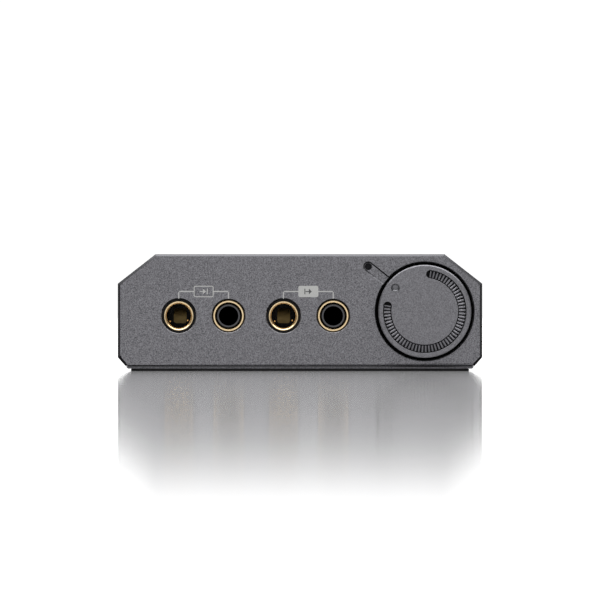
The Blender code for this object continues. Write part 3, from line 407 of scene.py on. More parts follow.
def make_materials(look):
    """Every finish, by the name that the operators use."""
    steel = (0.6, 0.6, 0.61)
    MATERIALS.update(
        casing=anodised("anodised_casing", look.anodised, look.anodised_roughness, look.grain),
        # The casing's anodising at 0.55 times its colour for the base plate: painted shade along the bottom.
        plate=anodised("plate_painted_shade", scaled(look.anodised, 0.55), look.anodised_roughness, look.grain),
        knob=anodised("anodised_knob", scaled(look.anodised, 1.02), look.anodised_roughness, look.grain * 0.6),
        cut=cut_metal("cut_chamfer", look.cut_edge),
        # The chamfer finish 2.4 times lighter: painted highlight on chamfers that face up.
        edge=cut_metal("chamfer_painted_highlight", scaled(look.cut_edge, 2.4)),
        dish=cut_metal("turned_dish", scaled(look.cut_edge, 3.2), 0.3),
        # Near-black copy of the chamfer finish: painted shade for recess floors, the knob's groove, gaps between
        # ribs, down-facing chamfers and the outer rounding.
        recess=anodised("recess_painted_shade", scaled(look.cut_edge, 0.25), 0.6, 0.0),
        # The knob's anodising 1.3 times lighter: painted highlight on the ribs.
        rib=anodised("rib_painted_highlight", scaled(look.anodised, 1.3), 0.36, 0.0),
        # Near-black plastic without gloss: painted shade inside the 3.5 mm bores.
        void=plastic("shaded_plastic", (0.002, 0.002, 0.002), 0.8, gloss=0.0),
        gold=gold_plate("gold_plate", look.gold, 0.2),
        # Dark gold for the end contact deep in the bore: painted shade.
        contact=gold_plate("contact_painted_shade", (0.17, 0.13, 0.06), 0.3),
        # Dark gold for the sleeves' insides and the collars' outer rims and insides: painted shade on the gold
        # plating.
        bronze=gold_plate("bronze", (0.16, 0.125, 0.07), 0.34),
        # Bright orange gold for the springs deep in the bore: painted glints.
        glint=gold_plate("spring_painted_glint", (0.9, 0.55, 0.22), 0.18),
        jack=plastic("jack_plastic", (0.006, 0.006, 0.007), 0.4, gloss=0.22),
        nozzle=plastic("nozzle_plastic", (0.012, 0.012, 0.016), 0.3, gloss=0.9),
        moulding=plastic("black_moulding", (0.02, 0.02, 0.021), 0.5, 0.01, 0.5),
        natural=plastic("natural_plastic", (0.72, 0.7, 0.64), 0.45),
        insulation=plastic("red_insulation", (0.5, 0.02, 0.02), 0.45),
        rubber=rubber_pad("pad_rubber"),
        steel=rolled_metal("screw_steel", steel),
        tin=rolled_metal("tin_plate", (0.72, 0.72, 0.7), 0.38),
        print=printed("printed_ink", look.paint),
        ink=printed("dark_ink", (0.07, 0.07, 0.072)),
        lens=smoked("smoked_lens"),
        board=circuit_board("circuit_board"),
        foil=battery_foil("battery_foil"),
        foam=foam("battery_foam"),
    )


# --- Shapes ---------------------------------------------------------------------------------------


def piece(name, bm, finishes, body="casing", replaces=(), sharp=14.0):
    """The finished object of a bmesh. It rides on a body, and may stand for CAD nodes."""
    mesh = bpy.data.meshes.new(name)
    bm.to_mesh(mesh)
    bm.free()
    for finish in finishes:
        mesh.materials.append(MATERIALS[finish])
    mesh.shade_smooth()
    mesh.set_sharp_from_angle(angle=math.radians(sharp))
    obj = bpy.data.objects.new(name, mesh)
    bpy.context.scene.collection.objects.link(obj)
    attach(obj, body)
    if replaces:
        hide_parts(*replaces)
    return obj


def copied(node):
    """A CAD node's mesh as a bmesh with its triangles merged into whole faces."""
    bm = bmesh.new()
    bm.from_mesh(frame["nodes"][node].data)
    bmesh.ops.remove_doubles(bm, verts=bm.verts, dist=TINY)
    bmesh.ops.dissolve_limit(bm, angle_limit=math.radians(0.3), verts=bm.verts, edges=bm.edges)
    return bm


def softened(bm, offset, chosen, segments=2, finish=0):
    """Bevels the sharp edges that chosen(edge, angle) picks, and gives the new faces a finish."""
    edges = [
        edge for edge in bm.edges if edge.is_manifold and chosen(edge, math.degrees(edge.calc_face_angle(0)))
    ]
    made = bmesh.ops.bevel(
        bm,
        geom=edges,
        offset=offset,
        offset_type="OFFSET",
        segments=segments,
        profile=0.5,
        affect="EDGES",
        material=-1,
        clamp_overlap=False,
    )
    for face in made["faces"]:
        face.material_index = finish
    return bm


def rounded_corner(before, corner, after, radius, steps=4):
    """Points that replace a corner of a path by an arc-like curve."""
    into, out = (Vector(other) - Vector(corner) for other in (before, after))
    reach = min(radius, into.length / 2, out.length / 2)
    start = Vector(corner) + into.normalized() * reach
    end = Vector(corner) + out.normalized() * reach
    shares = [step / steps for step in range(steps + 1)]
    return [(1 - t) ** 2 * start + 2 * t * (1 - t) * Vector(corner) + t**2 * end for t in shares]


def softened_path(points, radius, steps=4):
    """The path with its inner corners rounded. A third number in a point is its own radius."""
    flat = [point[:2] for point in points]
    path = [Vector(flat[0])]
    for before, point, corner, after in zip(flat, points[1:], flat[1:], flat[2:]):
        own = point[2] if len(point) > 2 else radius
        path += rounded_corner(before, corner, after, own, steps) if own > 0 else [Vector(corner)]
    return [*path, Vector(flat[-1])]


def lathe(profile, centre, steps=96, closed=False):
    """A bmesh turned about a line along Y through centre. The profile's points are (radius, y)."""
    bm = bmesh.new()
    verts = [bm.verts.new((centre[0] + radius, y, centre[1])) for radius, y in profile]
    pairs = list(zip(verts, verts[1:])) + ([(verts[-1], verts[0])] if closed else [])
    edges = [bm.edges.new(pair) for pair in pairs]
    bmesh.ops.spin(
        bm,
        geom=verts + edges,
        cent=(centre[0], 0, centre[1]),
        axis=(0, 1, 0),
        angle=math.tau,
        steps=steps,
        use_merge=True,
        use_duplicate=False,
    )
    bmesh.ops.remove_doubles(bm, verts=bm.verts, dist=TINY / 10)
    bmesh.ops.recalc_face_normals(bm, faces=bm.faces)
    return bm


def block(low, high, bevel=0.0, segments=2):
    """A box with rounded edges."""
    low, high = Vector(low), Vector(high)
    bm = bmesh.new()
    size = Matrix.Diagonal((*(high - low), 1))
    bmesh.ops.create_cube(bm, size=1, matrix=Matrix.Translation((low + high) / 2) @ size)
    if bevel:
        softened(bm, bevel, lambda edge, angle: True, segments)
    return bm


def merged(*meshes):
    """One bmesh that holds all of them."""
    whole = bmesh.new()
    for bm in meshes:
        mesh = bpy.data.meshes.new("part")
        bm.to_mesh(mesh)
        bm.free()
        whole.from_mesh(mesh)
        bpy.data.meshes.remove(mesh)
    return whole


def carved(bm, *cutters):
    """The bmesh less each of the cutters in turn."""
    made = []
    for shape in (bm, *cutters):
        mesh = bpy.data.meshes.new("carved")
        shape.to_mesh(mesh)
        shape.free()
        made.append(bpy.data.objects.new("carved", mesh))
        bpy.context.scene.collection.objects.link(made[-1])
    for cutter in made[1:]:
        modifier = made[0].modifiers.new("cut", "BOOLEAN")
        modifier.operation = "DIFFERENCE"
        modifier.solver = "EXACT"
        modifier.object = cutter
    result = bmesh.new()
    whole = made[0].evaluated_get(bpy.context.evaluated_depsgraph_get())
    result.from_mesh(bpy.data.meshes.new_from_object(whole))
    for obj in made:
        bpy.data.objects.remove(obj)
    bmesh.ops.remove_doubles(result, verts=result.verts, dist=TINY / 10)
    bmesh.ops.dissolve_limit(result, angle_limit=math.radians(0.1), verts=result.verts, edges=result.edges)
    return result


def bore(centre, radius, depth, flare, steps=128, face=FRONT):
    """A cutter for a round hole in a panel, with a chamfer round its mouth."""
    out = 0.5 * MM
    inward = 1 if face < 0 else -1
    rim = radius + (flare + out if flare else 0.0)
    profile = [(0, -out), (rim, -out), (radius, flare), (radius, depth), (0, depth)]
    return lathe([(reach, face + inward * y) for reach, y in profile], centre, steps)


def slab(node, face, thickness, skin):
    """The outer layer of the plate that a panel is cut from: a clean solid with its chamfer."""
    low, high = sorted((face, face + thickness))
    bm = bmesh.new()
    bm.from_mesh(frame["nodes"][node].data)
    far = [vert for vert in bm.verts if not low - TINY < vert.co.y < high + TINY]
    bmesh.ops.delete(bm, geom=far, context="VERTS")
    bmesh.ops.delete(bm, geom=bm.faces[:] + bm.edges[:], context="EDGES_FACES")
    made = bmesh.ops.convex_hull(bm, input=bm.verts)
    loose = [item for item in made["geom_interior"] if isinstance(item, bmesh.types.BMVert)]
    bmesh.ops.delete(bm, geom=loose, context="VERTS")
    bmesh.ops.remove_doubles(bm, verts=bm.verts, dist=TINY)
    bmesh.ops.dissolve_limit(bm, angle_limit=math.radians(0.3), verts=bm.verts, edges=bm.edges)
    bmesh.ops.recalc_face_normals(bm, faces=bm.faces)
    return carved(bm, wide_block(face + skin, face + 2 * thickness))


def behind_skin(node, face, skin):
    """All of a panel but its skin, as the CAD has it: pockets, counterbores, feet and tongues."""
    return carved(copied(node), wide_block(face - 5 * skin, face + skin))


def wide_block(near, far):
    """A cutter across the whole object between two places along Y."""
    low, high = sorted((near, far))
    reach = 100 * MM
    return block((-reach, low, -reach), (reach, high, reach))


def on_front(edge, y=FRONT):
    return all(abs(vert.co.y - y) < TINY for vert in edge.verts)


def near_mouth(edge):
    """Whether an edge is within a millimetre of the panel's face."""
    return all(vert.co.y < FRONT + 1.0 * MM for vert in edge.verts)


class PieceOperator:
    """What the operators share: where their settings are."""

    bl_options = {"REGISTER", "UNDO"}

    @property
    def sizes(self):
        return bpy.context.scene.amplifier_sizes

    @property
    def look(self):
        return bpy.context.scene.amplifier_finish


# --- Operators ------------------------------------------------------------------------------------


class AMPLIFIER_OT_finishes(PieceOperator, bpy.types.Operator):
    """Makes the materials and gives the hidden inner pieces theirs"""

    bl_idname = "amplifier.finishes"
    bl_label = "Finishes"

    inner = {
        "steel": ("base_screw_", "board_screw_", "volume_shaft", "volume_washer", "volume_nut"),
        "tin": (
            "volume_potentiometer",
            "gain_switch",
            "bias_switch",
            "crossfeed_switch",
            "amplifier_shield",
            "filter_",
        ),
        "moulding": ("power_switch", "amplifier_chip_", "power_inductor", "battery_cradle", "battery_socket"),
        "natural": ("battery_plug", "status_led", "charge_led"),
        "insulation": ("battery_lead_positive",),
        "rubber": ("battery_lead_negative",),
        "board": ("main_board",),
        "foil": ("battery",),
        "foam": ("battery_foam",),
    }

    def execute(self, context):
        make_materials(self.look)
        for finish, starts in self.inner.items():
            for name, node in frame["nodes"].items():
                if name.startswith(starts) and (finish != "foil" or name == "battery"):
                    node.data.materials.clear()
                    node.data.materials.append(MATERIALS[finish])
        return {"FINISHED"}


class Outline:
    """The panel's outline: a box with its corners cut at an angle."""

    def __init__(self, node, margin):
        corners = [vert.co for vert in frame["nodes"][node].data.vertices]
        self.lines = []
        for turn in range(0, 360, 5):
            way = Vector((math.cos(math.radians(turn)), 0, math.sin(math.radians(turn))))
            self.lines.append((way, max(way.dot(corner) for corner in corners) - margin))

    def inside(self, x, z):
        """Whether a point of the face is further in than the margin."""
        return all(way.dot(Vector((x, 0, z))) < reach for way, reach in self.lines)


OUTLINE = Outline("front_panel", 0.7 * MM)
SIDE_REACH = max(abs(vert.co.x) for vert in frame["nodes"]["front_panel"].data.vertices)


class AMPLIFIER_OT_casing(PieceOperator, bpy.types.Operator):
    """Builds the channel, both panels and the base plate with their softened edges"""

    bl_idname = "amplifier.casing"
    bl_label = "Casing"

    def execute(self, context):
        edge_round, chamfer = self.sizes.edge_round, self.sizes.hole_chamfer

        face = slab("front_panel", FRONT, FRONT_WALL, PANEL_SKIN)
        self.widen_chamfer(face, FRONT)
        softened(face, edge_round, lambda e, a: 20 < a < 70, 2)
        face = carved(face, *self.front_cutters(chamfer))
        self.mark_cuts(face, FRONT)
        rest = behind_skin("front_panel", FRONT, PANEL_SKIN)
        self.mark_cuts(rest, FRONT)
        panel = merged(face, rest)
        piece("front_panel_finish", panel, PANEL_FINISHES, "casing", ["front_panel"])

        face = slab("rear_panel", REAR, -REAR_WALL, -PANEL_SKIN)
        self.widen_chamfer(face, REAR)
        softened(face, edge_round, lambda e, a: 20 < a < 70, 2)
        face = carved(face, *self.rear_cutters(chamfer))
        self.mark_cuts(face, REAR)
        rear = merged(face, behind_skin("rear_panel", REAR, -PANEL_SKIN))
        piece("rear_panel_finish", rear, PANEL_FINISHES, "casing", ["rear_panel"])

        housing = copied("housing")
        softened(housing, chamfer * 1.5, lambda e, a: a > 60 and self.on_side(e), 2, 1)
        softened(housing, edge_round * 3, lambda e, a: a > 20 and self.lengthwise(e), 3)
        piece("housing_finish", housing, ["casing", "cut"], "casing", ["housing"])

        plate = copied("base_plate")
        top = max(vert.co.z for vert in plate.verts if abs(vert.co.x) > 31.9 * MM)
        softened(plate, 0.06 * MM, lambda e, a: a > 60 and all(abs(v.co.z - top) < TINY for v in e.verts), 2, 1)
        piece("base_plate_finish", plate, ["plate", "cut"], "casing", ["base_plate"])
        return {"FINISHED"}

    def rear_cutters(self, chamfer):
        """Rounder holes with chamfered rims: the power button, the charge light and the port."""
        deep = 6 * MM
        button, light, port = (middle(node) for node in ("power_button", "charge_light_pipe", "usb_shell"))
        cutters = [
            bore((button.x, button.z), BUTTON_HOLE + SHAVE, deep, chamfer, 96, REAR),
            bore((light.x, light.z), CHARGE_HOLE + SHAVE, deep, chamfer, 48, REAR),
        ]
        low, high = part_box("usb_shell")
        half = (high.z - low.z) / 2
        for x in (low.x + half, high.x - half):
            cutters.append(bore((x, port.z), half + PORT_GAP + SHAVE, deep, chamfer, 64, REAR))
        reach = half + PORT_GAP + SHAVE
        slot = block((low.x + half, REAR - deep, port.z - reach), (high.x - half, REAR + MM, port.z + reach))
        cutters.append(slot)
        return cutters

    def front_cutters(self, chamfer):
        """Rounder holes with chamfered rims: the jacks, the knob's recess, and the channel with its light."""
        deep = 6 * MM
        cutters = []
        for pair in PAIRS:
            for kind, node, radius in (("balanced", "sleeve", BALANCED_HOLE), ("single", "collar", SINGLE_HOLE)):
                at = middle(f"{pair}_{kind}_{node}")
                cutters.append(bore((at.x, at.z), radius + SHAVE, deep, chamfer))
        light, depth = (LIGHT_X, LIGHT_Z), CHANNEL_DEPTH + SHAVE
        cutters.append(bore((KNOB_X, KNOB_Z), RECESS_RADIUS + SHAVE, RECESS_DEPTH + SHAVE, chamfer, 192))
        cutters.append(bore(light, CHANNEL_HALF + SHAVE, depth, CHANNEL_CHAMFER, 48))
        cutters.append(self.channel_cutter(CHANNEL_CHAMFER))
        cutters.append(bore(light, LIGHT_RADIUS + LIGHT_GAP + SHAVE, deep, 0.0, 48))
        return cutters

    @staticmethod
    def channel_cutter(chamfer):
        """A bar from the light to the recess, with flared sides."""
        half, depth, out = CHANNEL_HALF + SHAVE, CHANNEL_DEPTH + SHAVE, 0.5 * MM
        away = Vector((KNOB_X - LIGHT_X, 0, KNOB_Z - LIGHT_Z))
        along = away.normalized()
        across = along.cross(Vector((0, 1, 0)))
        start = Vector((LIGHT_X, FRONT, LIGHT_Z))
        rim = half + chamfer + out
        section = [(-half, depth), (half, depth), (half, chamfer), (rim, -out), (-rim, -out), (-half, chamfer)]
        bar = bmesh.new()
        face = bar.faces.new([bar.verts.new(start + across * a + Vector((0, y, 0))) for a, y in section])
        made = bmesh.ops.extrude_face_region(bar, geom=[face])
        moved = [item for item in made["geom"] if isinstance(item, bmesh.types.BMVert)]
        reach = away.length - RECESS_RADIUS + 1.2 * MM
        bmesh.ops.translate(bar, verts=moved, vec=along * reach)
        bmesh.ops.recalc_face_normals(bar, faces=bar.faces)
        return bar

    @staticmethod
    def widen_chamfer(bm, y):
        """Draws the outline of a panel's face in, so that the chamfer round it is wider."""
        for vert in bm.verts:
            if abs(vert.co.y - y) < TINY:
                vert.co.x *= 1 - CHAMFER_MORE / SIDE_REACH
                vert.co.z -= (vert.co.z - TOP / 2) * CHAMFER_MORE / (TOP / 2)

    @staticmethod
    def mark_cuts(bm, y):
        """Gives each chamfer of a panel, and the knob's recess, a finish by the way it faces: painted highlight on
        chamfers that face up, painted shade on those that face down, on walls inside holes, on the outer rounding
        and on the floor of the knob's recess.
        """
        bm.normal_update()
        for face in bm.faces:
            deep = max(abs(vert.co.y - y) for vert in face.verts)
            at, normal = face.calc_center_median(), face.normal
            spread = [math.hypot(v.co.x - KNOB_X, v.co.z - KNOB_Z) for v in face.verts]
            # Floor of the knob's recess: painted shade.
            if y == FRONT and max(spread) < RECESS_RADIUS + 0.02 * MM and deep > 0.2 * MM:
                face.material_index = PAINTED_SHADE_FINISH if abs(normal.y) > 0.3 else 0
            elif deep > 0.7 * MM or abs(normal.y) > 0.96:
                continue
            # Round holes and the channel: down-facing chamfers and walls get painted shade.
            elif OUTLINE.inside(at.x, at.z):
                facing_down = normal.z < -0.2 and max(spread) > RECESS_RADIUS + 0.3 * MM
                shaded = facing_down or (abs(normal.y) < 0.3 and normal.z < 0.2)
                face.material_index = PAINTED_SHADE_FINISH if shaded else 0
            # Outer rounding: painted shade as a dark outline; then up-facing chamfers get painted highlight and
            # down-facing ones painted shade.
            elif min(abs(vert.co.y - y) for vert in face.verts) > 0.15 * MM:
                face.material_index = PAINTED_SHADE_FINISH
            elif normal.z > 0.25:
                face.material_index = PAINTED_HIGHLIGHT_FINISH
            elif normal.z > -0.55:
                face.material_index = PAINTED_SHADE_FINISH if normal.z < -0.2 else CUT_FINISH

    @staticmethod
    def on_side(edge):
        return all(abs(vert.co.x - SIDE) < TINY and 4 * MM < vert.co.z < 12 * MM for vert in edge.verts)

    @staticmethod
    def lengthwise(edge):
        """One of the long outer edges of the channel."""
        first, second = (vert.co for vert in edge.verts)
        along = abs(first.y - second.y) > 100 * MM
        outside = abs(first.x) > 26.8 * MM and first.z > 2 * MM
        edge_of_top = first.z > TOP - TINY
        return along and outside and (edge_of_top or abs(first.x) > abs(SIDE) - TINY)


class AMPLIFIER_OT_pad(PieceOperator, bpy.types.Operator):
    """Builds the rubber pad under the base plate"""

    bl_idname = "amplifier.pad"
    bl_label = "Rubber pad"

    def execute(self, context):
        pad = copied("base_pad")
        softened(pad, 0.1 * MM, lambda e, a: a > 60, 2)
        piece("pad_finish", pad, ["rubber"], "casing", ["base_pad"])
        return {"FINISHED"}


class AMPLIFIER_OT_balanced_jacks(PieceOperator, bpy.types.Operator):
    """Builds the 4.4 mm jacks: black nozzle, gold sleeve, and the contacts deep inside"""

    bl_idname = "amplifier.balanced_jacks"
    bl_label = "Balanced jacks"

    def execute(self, context):
        for pair in PAIRS:
            low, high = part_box(f"{pair}_balanced_sleeve")
            centre = ((low.x + high.x) / 2, (low.z + high.z) / 2)
            outer = (high.x - low.x) / 2
            inner = outer - 0.55 * MM
            ring = inner - 0.03 * MM
            mouth = low.y
            profile = [
                (outer, high.y, 0),
                (outer, mouth + 0.2 * MM, 0.2 * MM),
                (outer - 0.14 * MM, mouth, 0.14 * MM),
                (inner + 0.14 * MM, mouth + 0.2 * MM, 0.12 * MM),
                (inner + 0.1 * MM, mouth + 0.5 * MM, 0.04 * MM),
                (inner + 0.06 * MM, mouth + 0.42 * MM, 0.04 * MM),
                (ring, mouth + 0.6 * MM, 0.1 * MM),
                (ring, mouth + 1.3 * MM, 0.1 * MM),
                (inner, mouth + 1.6 * MM, 0.05 * MM),
                (inner, mouth + 4.2 * MM, 0.05 * MM),
                (inner + 0.18 * MM, mouth + 4.4 * MM, 0.05 * MM),
                (inner + 0.18 * MM, mouth + 5.2 * MM, 0.05 * MM),
                (inner, mouth + 5.4 * MM, 0.05 * MM),
                (inner, high.y, 0),
            ]
            sleeve = lathe(softened_path(profile, 0), centre, 96, closed=True)
            # Deeper than 1.2 mm into the sleeve, the dark gold: painted shade in the bore.
            for face in sleeve.faces:
                face.material_index = int(face.calc_center_median().y > mouth + 1.2 * MM)
            piece(
                f"{pair}_sleeve_finish", sleeve, ["gold", "bronze"], "casing", [f"{pair}_balanced_sleeve"]
            )
            nozzle = copied(f"{pair}_balanced_jack")
            softened(nozzle, 0.05 * MM, lambda e, a: a > 60 and near_mouth(e), 2)
            piece(
                f"{pair}_nozzle_finish", nozzle, ["jack"], "casing", [f"{pair}_balanced_jack"]
            )
            self.contacts(pair, centre, mouth)
        return {"FINISHED"}

    @staticmethod
    def contacts(pair, centre, mouth):
        """The end contact, a plate with a bent lip, and the two springs beside it."""
        x, z = centre
        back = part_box(f"{pair}_balanced_contact")[0].y
        low, high = z - 1.4 * MM, z + 1.4 * MM
        plate = block((x - 1.2 * MM, back, low), (x + 1.2 * MM, back + 0.2 * MM, high))
        upright = [edge for edge in plate.edges if abs(edge.verts[0].co.y - edge.verts[1].co.y) > 0.1 * MM]
        bmesh.ops.bevel(
            plate, geom=upright, offset=0.45 * MM, segments=4, profile=0.5, affect="EDGES", material=-1
        )
        levels = [edge for edge in plate.edges if abs(edge.verts[0].co.z - edge.verts[1].co.z) > MM]
        bmesh.ops.subdivide_edges(plate, edges=levels, cuts=12, use_grid_fill=True)
        for vert in plate.verts:
            vert.co.y += ((vert.co.z - low - 0.5 * MM) / (high - low)) ** 2 * 0.4 * MM
        springs = []
        for side, drop in ((-1, 1.16), (1, 1.0)):
            inner, outer = sorted((x + side * 1.5 * MM, x + side * 1.78 * MM))
            level = z - drop * MM
            spring = block((inner, mouth + 1.5 * MM, level), (outer, mouth + 6.5 * MM, level + 0.3 * MM), 0.1 * MM)
            # The springs take the bright orange gold: painted glints.
            for face in spring.faces:
                face.material_index = 1
            springs.append(spring)
        made = merged(plate, *springs)
        piece(
            f"{pair}_contact_finish", made, ["contact", "glint"], "casing", [f"{pair}_balanced_contact"]
        )


class AMPLIFIER_OT_single_jacks(PieceOperator, bpy.types.Operator):
    """Builds the 3.5 mm jacks: gold collar round a black nozzle"""

    bl_idname = "amplifier.single_jacks"
    bl_label = "Single-ended jacks"

    def execute(self, context):
        for pair in PAIRS:
            low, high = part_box(f"{pair}_single_collar")
            centre = ((low.x + high.x) / 2, (low.z + high.z) / 2)
            outer = 3.02 * MM
            mouth = low.y
            profile = [
                (outer, high.y, 0),
                (outer, mouth + 0.2 * MM, 0.1 * MM),
                (2.88 * MM, mouth + 0.12 * MM, 0.05 * MM),
                (2.8 * MM, mouth, 0.1 * MM),
                (2.52 * MM, mouth, 0.1 * MM),
                (2.43 * MM, mouth + 0.3 * MM, 0.05 * MM),
                (2.43 * MM, mouth + 1.1 * MM, 0.05 * MM),
                (2.2 * MM, mouth + 1.2 * MM, 0.03 * MM),
                (2.2 * MM, high.y, 0),
            ]
            collar = lathe(softened_path(profile, 0), centre, 96, closed=True)
            # Only the ring from 2.44 to 2.88 mm keeps the bright gold; the rest of the collar takes the dark gold
            # as painted shade.
            for face in collar.faces:
                at = face.calc_center_median()
                spread = math.hypot(at.x - centre[0], at.z - centre[1])
                face.material_index = int(not 2.44 * MM < spread < 2.88 * MM)
            piece(
                f"{pair}_collar_finish", collar, ["gold", "bronze"], "casing", [f"{pair}_single_collar"]
            )
            nozzle = copied(f"{pair}_single_jack")
            softened(nozzle, 0.07 * MM, lambda e, a: a > 60 and near_mouth(e), 3)
            # Faces inside the bore take the near-black plastic: painted shade.
            for face in nozzle.faces:
                at = face.calc_center_median()
                within = all(math.hypot(v.co.x - centre[0], v.co.z - centre[1]) < 1.86 * MM for v in face.verts)
                face.material_index = int(within and at.y > mouth + 0.1 * MM)
            piece(
                f"{pair}_tip_finish", nozzle, ["nozzle", "void"], "casing", [f"{pair}_single_jack"]
            )
        return {"FINISHED"}


class AMPLIFIER_OT_volume_knob(PieceOperator, bpy.types.Operator):
    """Builds the knob with its ribbed groove and its dimple"""

    bl_idname = "amplifier.volume_knob"
    bl_label = "Volume knob"

    groove = 6.97 * MM
    groove_width = 1.5 * MM
    groove_depth = 0.7 * MM
    first = 81.5
    span = 270.0
    pitch = 5.0
    dimple_angle = 141.5
    dimple_radius = 0.78 * MM
    dimple_depth = 0.46 * MM

    def execute(self, context):
        low, high = KNOB
        radius = (high.x - low.x) / 2
        centre = (KNOB_X, KNOB_Z)
        face = KNOB_FACE
        profile = [
            (0, face, 0),
            (radius - 0.2 * MM, face, 0.04 * MM),
            (radius, face + 0.2 * MM, 0.04 * MM),
            (radius, high.y, 0.1 * MM),
            (5.4 * MM, high.y, 0.05 * MM),
            (5.4 * MM, high.y - 1.4 * MM, 0.05 * MM),
            (SHAFT_BORE, high.y - 1.4 * MM, 0),
            (SHAFT_BORE, SHAFT_END, 0),
            (0, SHAFT_END, 0),
        ]
        knob = lathe(softened_path(profile, 0), centre, 144)
        bmesh.ops.dissolve_limit(knob, angle_limit=math.radians(0.1), verts=knob.verts, edges=knob.edges)
        knob = carved(knob, *self.groove_cutters(face), self.dimple_cutter(face))
        inner, outer = self.groove - self.groove_width, self.groove + self.groove_width
        softened(knob, 0.1 * MM, lambda e, a: a > 40 and on_front(e, face) and self.within(e, inner, outer), 2)
        dimple = self.at_angle(self.dimple_angle, self.groove)
        # The knob's side, facing into the gap, takes the dark chamfer finish, and the groove's walls and floor the
        # near-black recess finish: painted shade.
        for part in knob.faces:
            behind = any(vert.co.y > face + 0.01 * MM for vert in part.verts)
            spread = [math.hypot(v.co.x - KNOB_X, v.co.z - KNOB_Z) for v in part.verts]
            shallow = all(vert.co.y < face + 0.3 * MM for vert in part.verts)
            if min(spread) > radius - 0.3 * MM:
                bevel = shallow and abs(part.normal.y) > 0.2
                part.material_index = 0 if bevel else int(behind)
            elif behind and all(math.hypot(v.co.x - dimple[0], v.co.z - dimple[1]) < MM for v in part.verts):
                part.material_index = 2
            elif behind and not (shallow and abs(part.normal.y) > 0.2):
                part.material_index = 3
        piece(
            "knob_finish", knob, ["knob", "cut", "dish", "recess"], "volume", ["volume_knob"]
        )
        self.ribs(face)
        return {"FINISHED"}

    @staticmethod
    def within(edge, inner, outer):
        spread = [math.hypot(v.co.x - KNOB_X, v.co.z - KNOB_Z) for v in edge.verts]
        return min(spread) > inner and max(spread) < outer

    def at_angle(self, degrees, radius):
        turn = math.radians(degrees)
        return KNOB_X + radius * math.cos(turn), KNOB_Z + radius * math.sin(turn)

    def groove_cutters(self, face):
        """A curved bar along the groove, and a round one for each of its ends."""
        bar = bmesh.new()
        x, z = self.at_angle(self.first, 1.0)
        outward = Vector((x - KNOB_X, 0, z - KNOB_Z))
        inner = self.groove - self.groove_width / 2
        start = Vector((KNOB_X, face + self.groove_depth, KNOB_Z)) + outward * inner
        across, out = outward * self.groove_width, Vector((0, -self.groove_depth - MM, 0))
        ways = ((0, 0), (1, 0), (1, 1), (0, 1))
        corners = [bar.verts.new(start + across * a + out * b) for a, b in ways]
        section = bar.faces.new(corners)
        bmesh.ops.spin(
            bar, geom=[section], cent=(KNOB_X, 0, KNOB_Z), axis=(0, 1, 0), angle=math.radians(self.span), steps=108
        )
        bmesh.ops.recalc_face_normals(bar, faces=bar.faces)
        ends = []
        for angle in (self.first, self.first - self.span):
            x, z = self.at_angle(angle, self.groove)
            depth = self.groove_depth + MM
            place = Matrix.Translation((x, face + self.groove_depth - depth / 2, z)) @ Matrix.Rotation(math.pi / 2, 4, "X")
            end = bmesh.new()
            bmesh.ops.create_cone(
                end,
                cap_ends=True,
                segments=40,
                radius1=self.groove_width / 2,
                radius2=self.groove_width / 2,
                depth=depth,
                matrix=place,
            )
            ends.append(end)
        return [bar, *ends]

    def dimple_cutter(self, face):
        ball = bmesh.new()
        radius = (self.dimple_radius**2 + self.dimple_depth**2) / (2 * self.dimple_depth)
        x, z = self.at_angle(self.dimple_angle, self.groove)
        place = Matrix.Translation((x, face + self.dimple_depth - radius, z)) @ Matrix.Rotation(math.pi / 2, 4, "X")
        bmesh.ops.create_uvsphere(ball, u_segments=48, v_segments=32, radius=radius, matrix=place)
        return ball

    def ribs(self, face):
        """One rib, and its copies along the groove."""
        height, width = self.sizes.rib_height, self.sizes.rib_width
        floor = face + self.groove_depth
        rib = bmesh.new()
        reach = self.groove_width / 2 - 0.15 * MM
        half = [(width / 2, 0.1 * MM), (width / 2, -0.45 * height), (0.04 * MM, -height)]
        profile = [*half, *((-x, y) for x, y in reversed(half))]
        section = rib.faces.new([rib.verts.new((x, floor + y, 0)) for x, y in profile])
        made = bmesh.ops.extrude_face_region(rib, geom=[section])
        moved = [item for item in made["geom"] if isinstance(item, bmesh.types.BMVert)]
        bmesh.ops.translate(rib, verts=moved, vec=(0, 0, 2 * reach))
        bmesh.ops.translate(rib, verts=rib.verts, vec=(0, 0, self.groove - reach))
        bmesh.ops.recalc_face_normals(rib, faces=rib.faces)
        rib.normal_update()
        # The ribs' upright walls and ends take the near-black recess finish: painted shade between the ribs.
        for part in rib.faces:
            part.material_index = int(abs(part.normal.y) < 0.3)
        start = math.radians(90 - self.first)
        bmesh.ops.rotate(rib, cent=(0, 0, 0), matrix=Matrix.Rotation(start, 3, "Y"), verts=rib.verts)
        steps = round(self.span / self.pitch)
        bmesh.ops.spin(
            rib,
            geom=rib.verts[:] + rib.edges[:] + rib.faces[:],
            cent=(0, 0, 0),
            axis=(0, 1, 0),
            angle=math.radians(steps * self.pitch),
            steps=steps,
            use_duplicate=True,
        )
        bmesh.ops.translate(rib, verts=rib.verts, vec=(KNOB_X, 0, KNOB_Z))
        bmesh.ops.recalc_face_normals(rib, faces=rib.faces)
        piece("knob_ribs", rib, ["rib", "recess"], "volume", ())


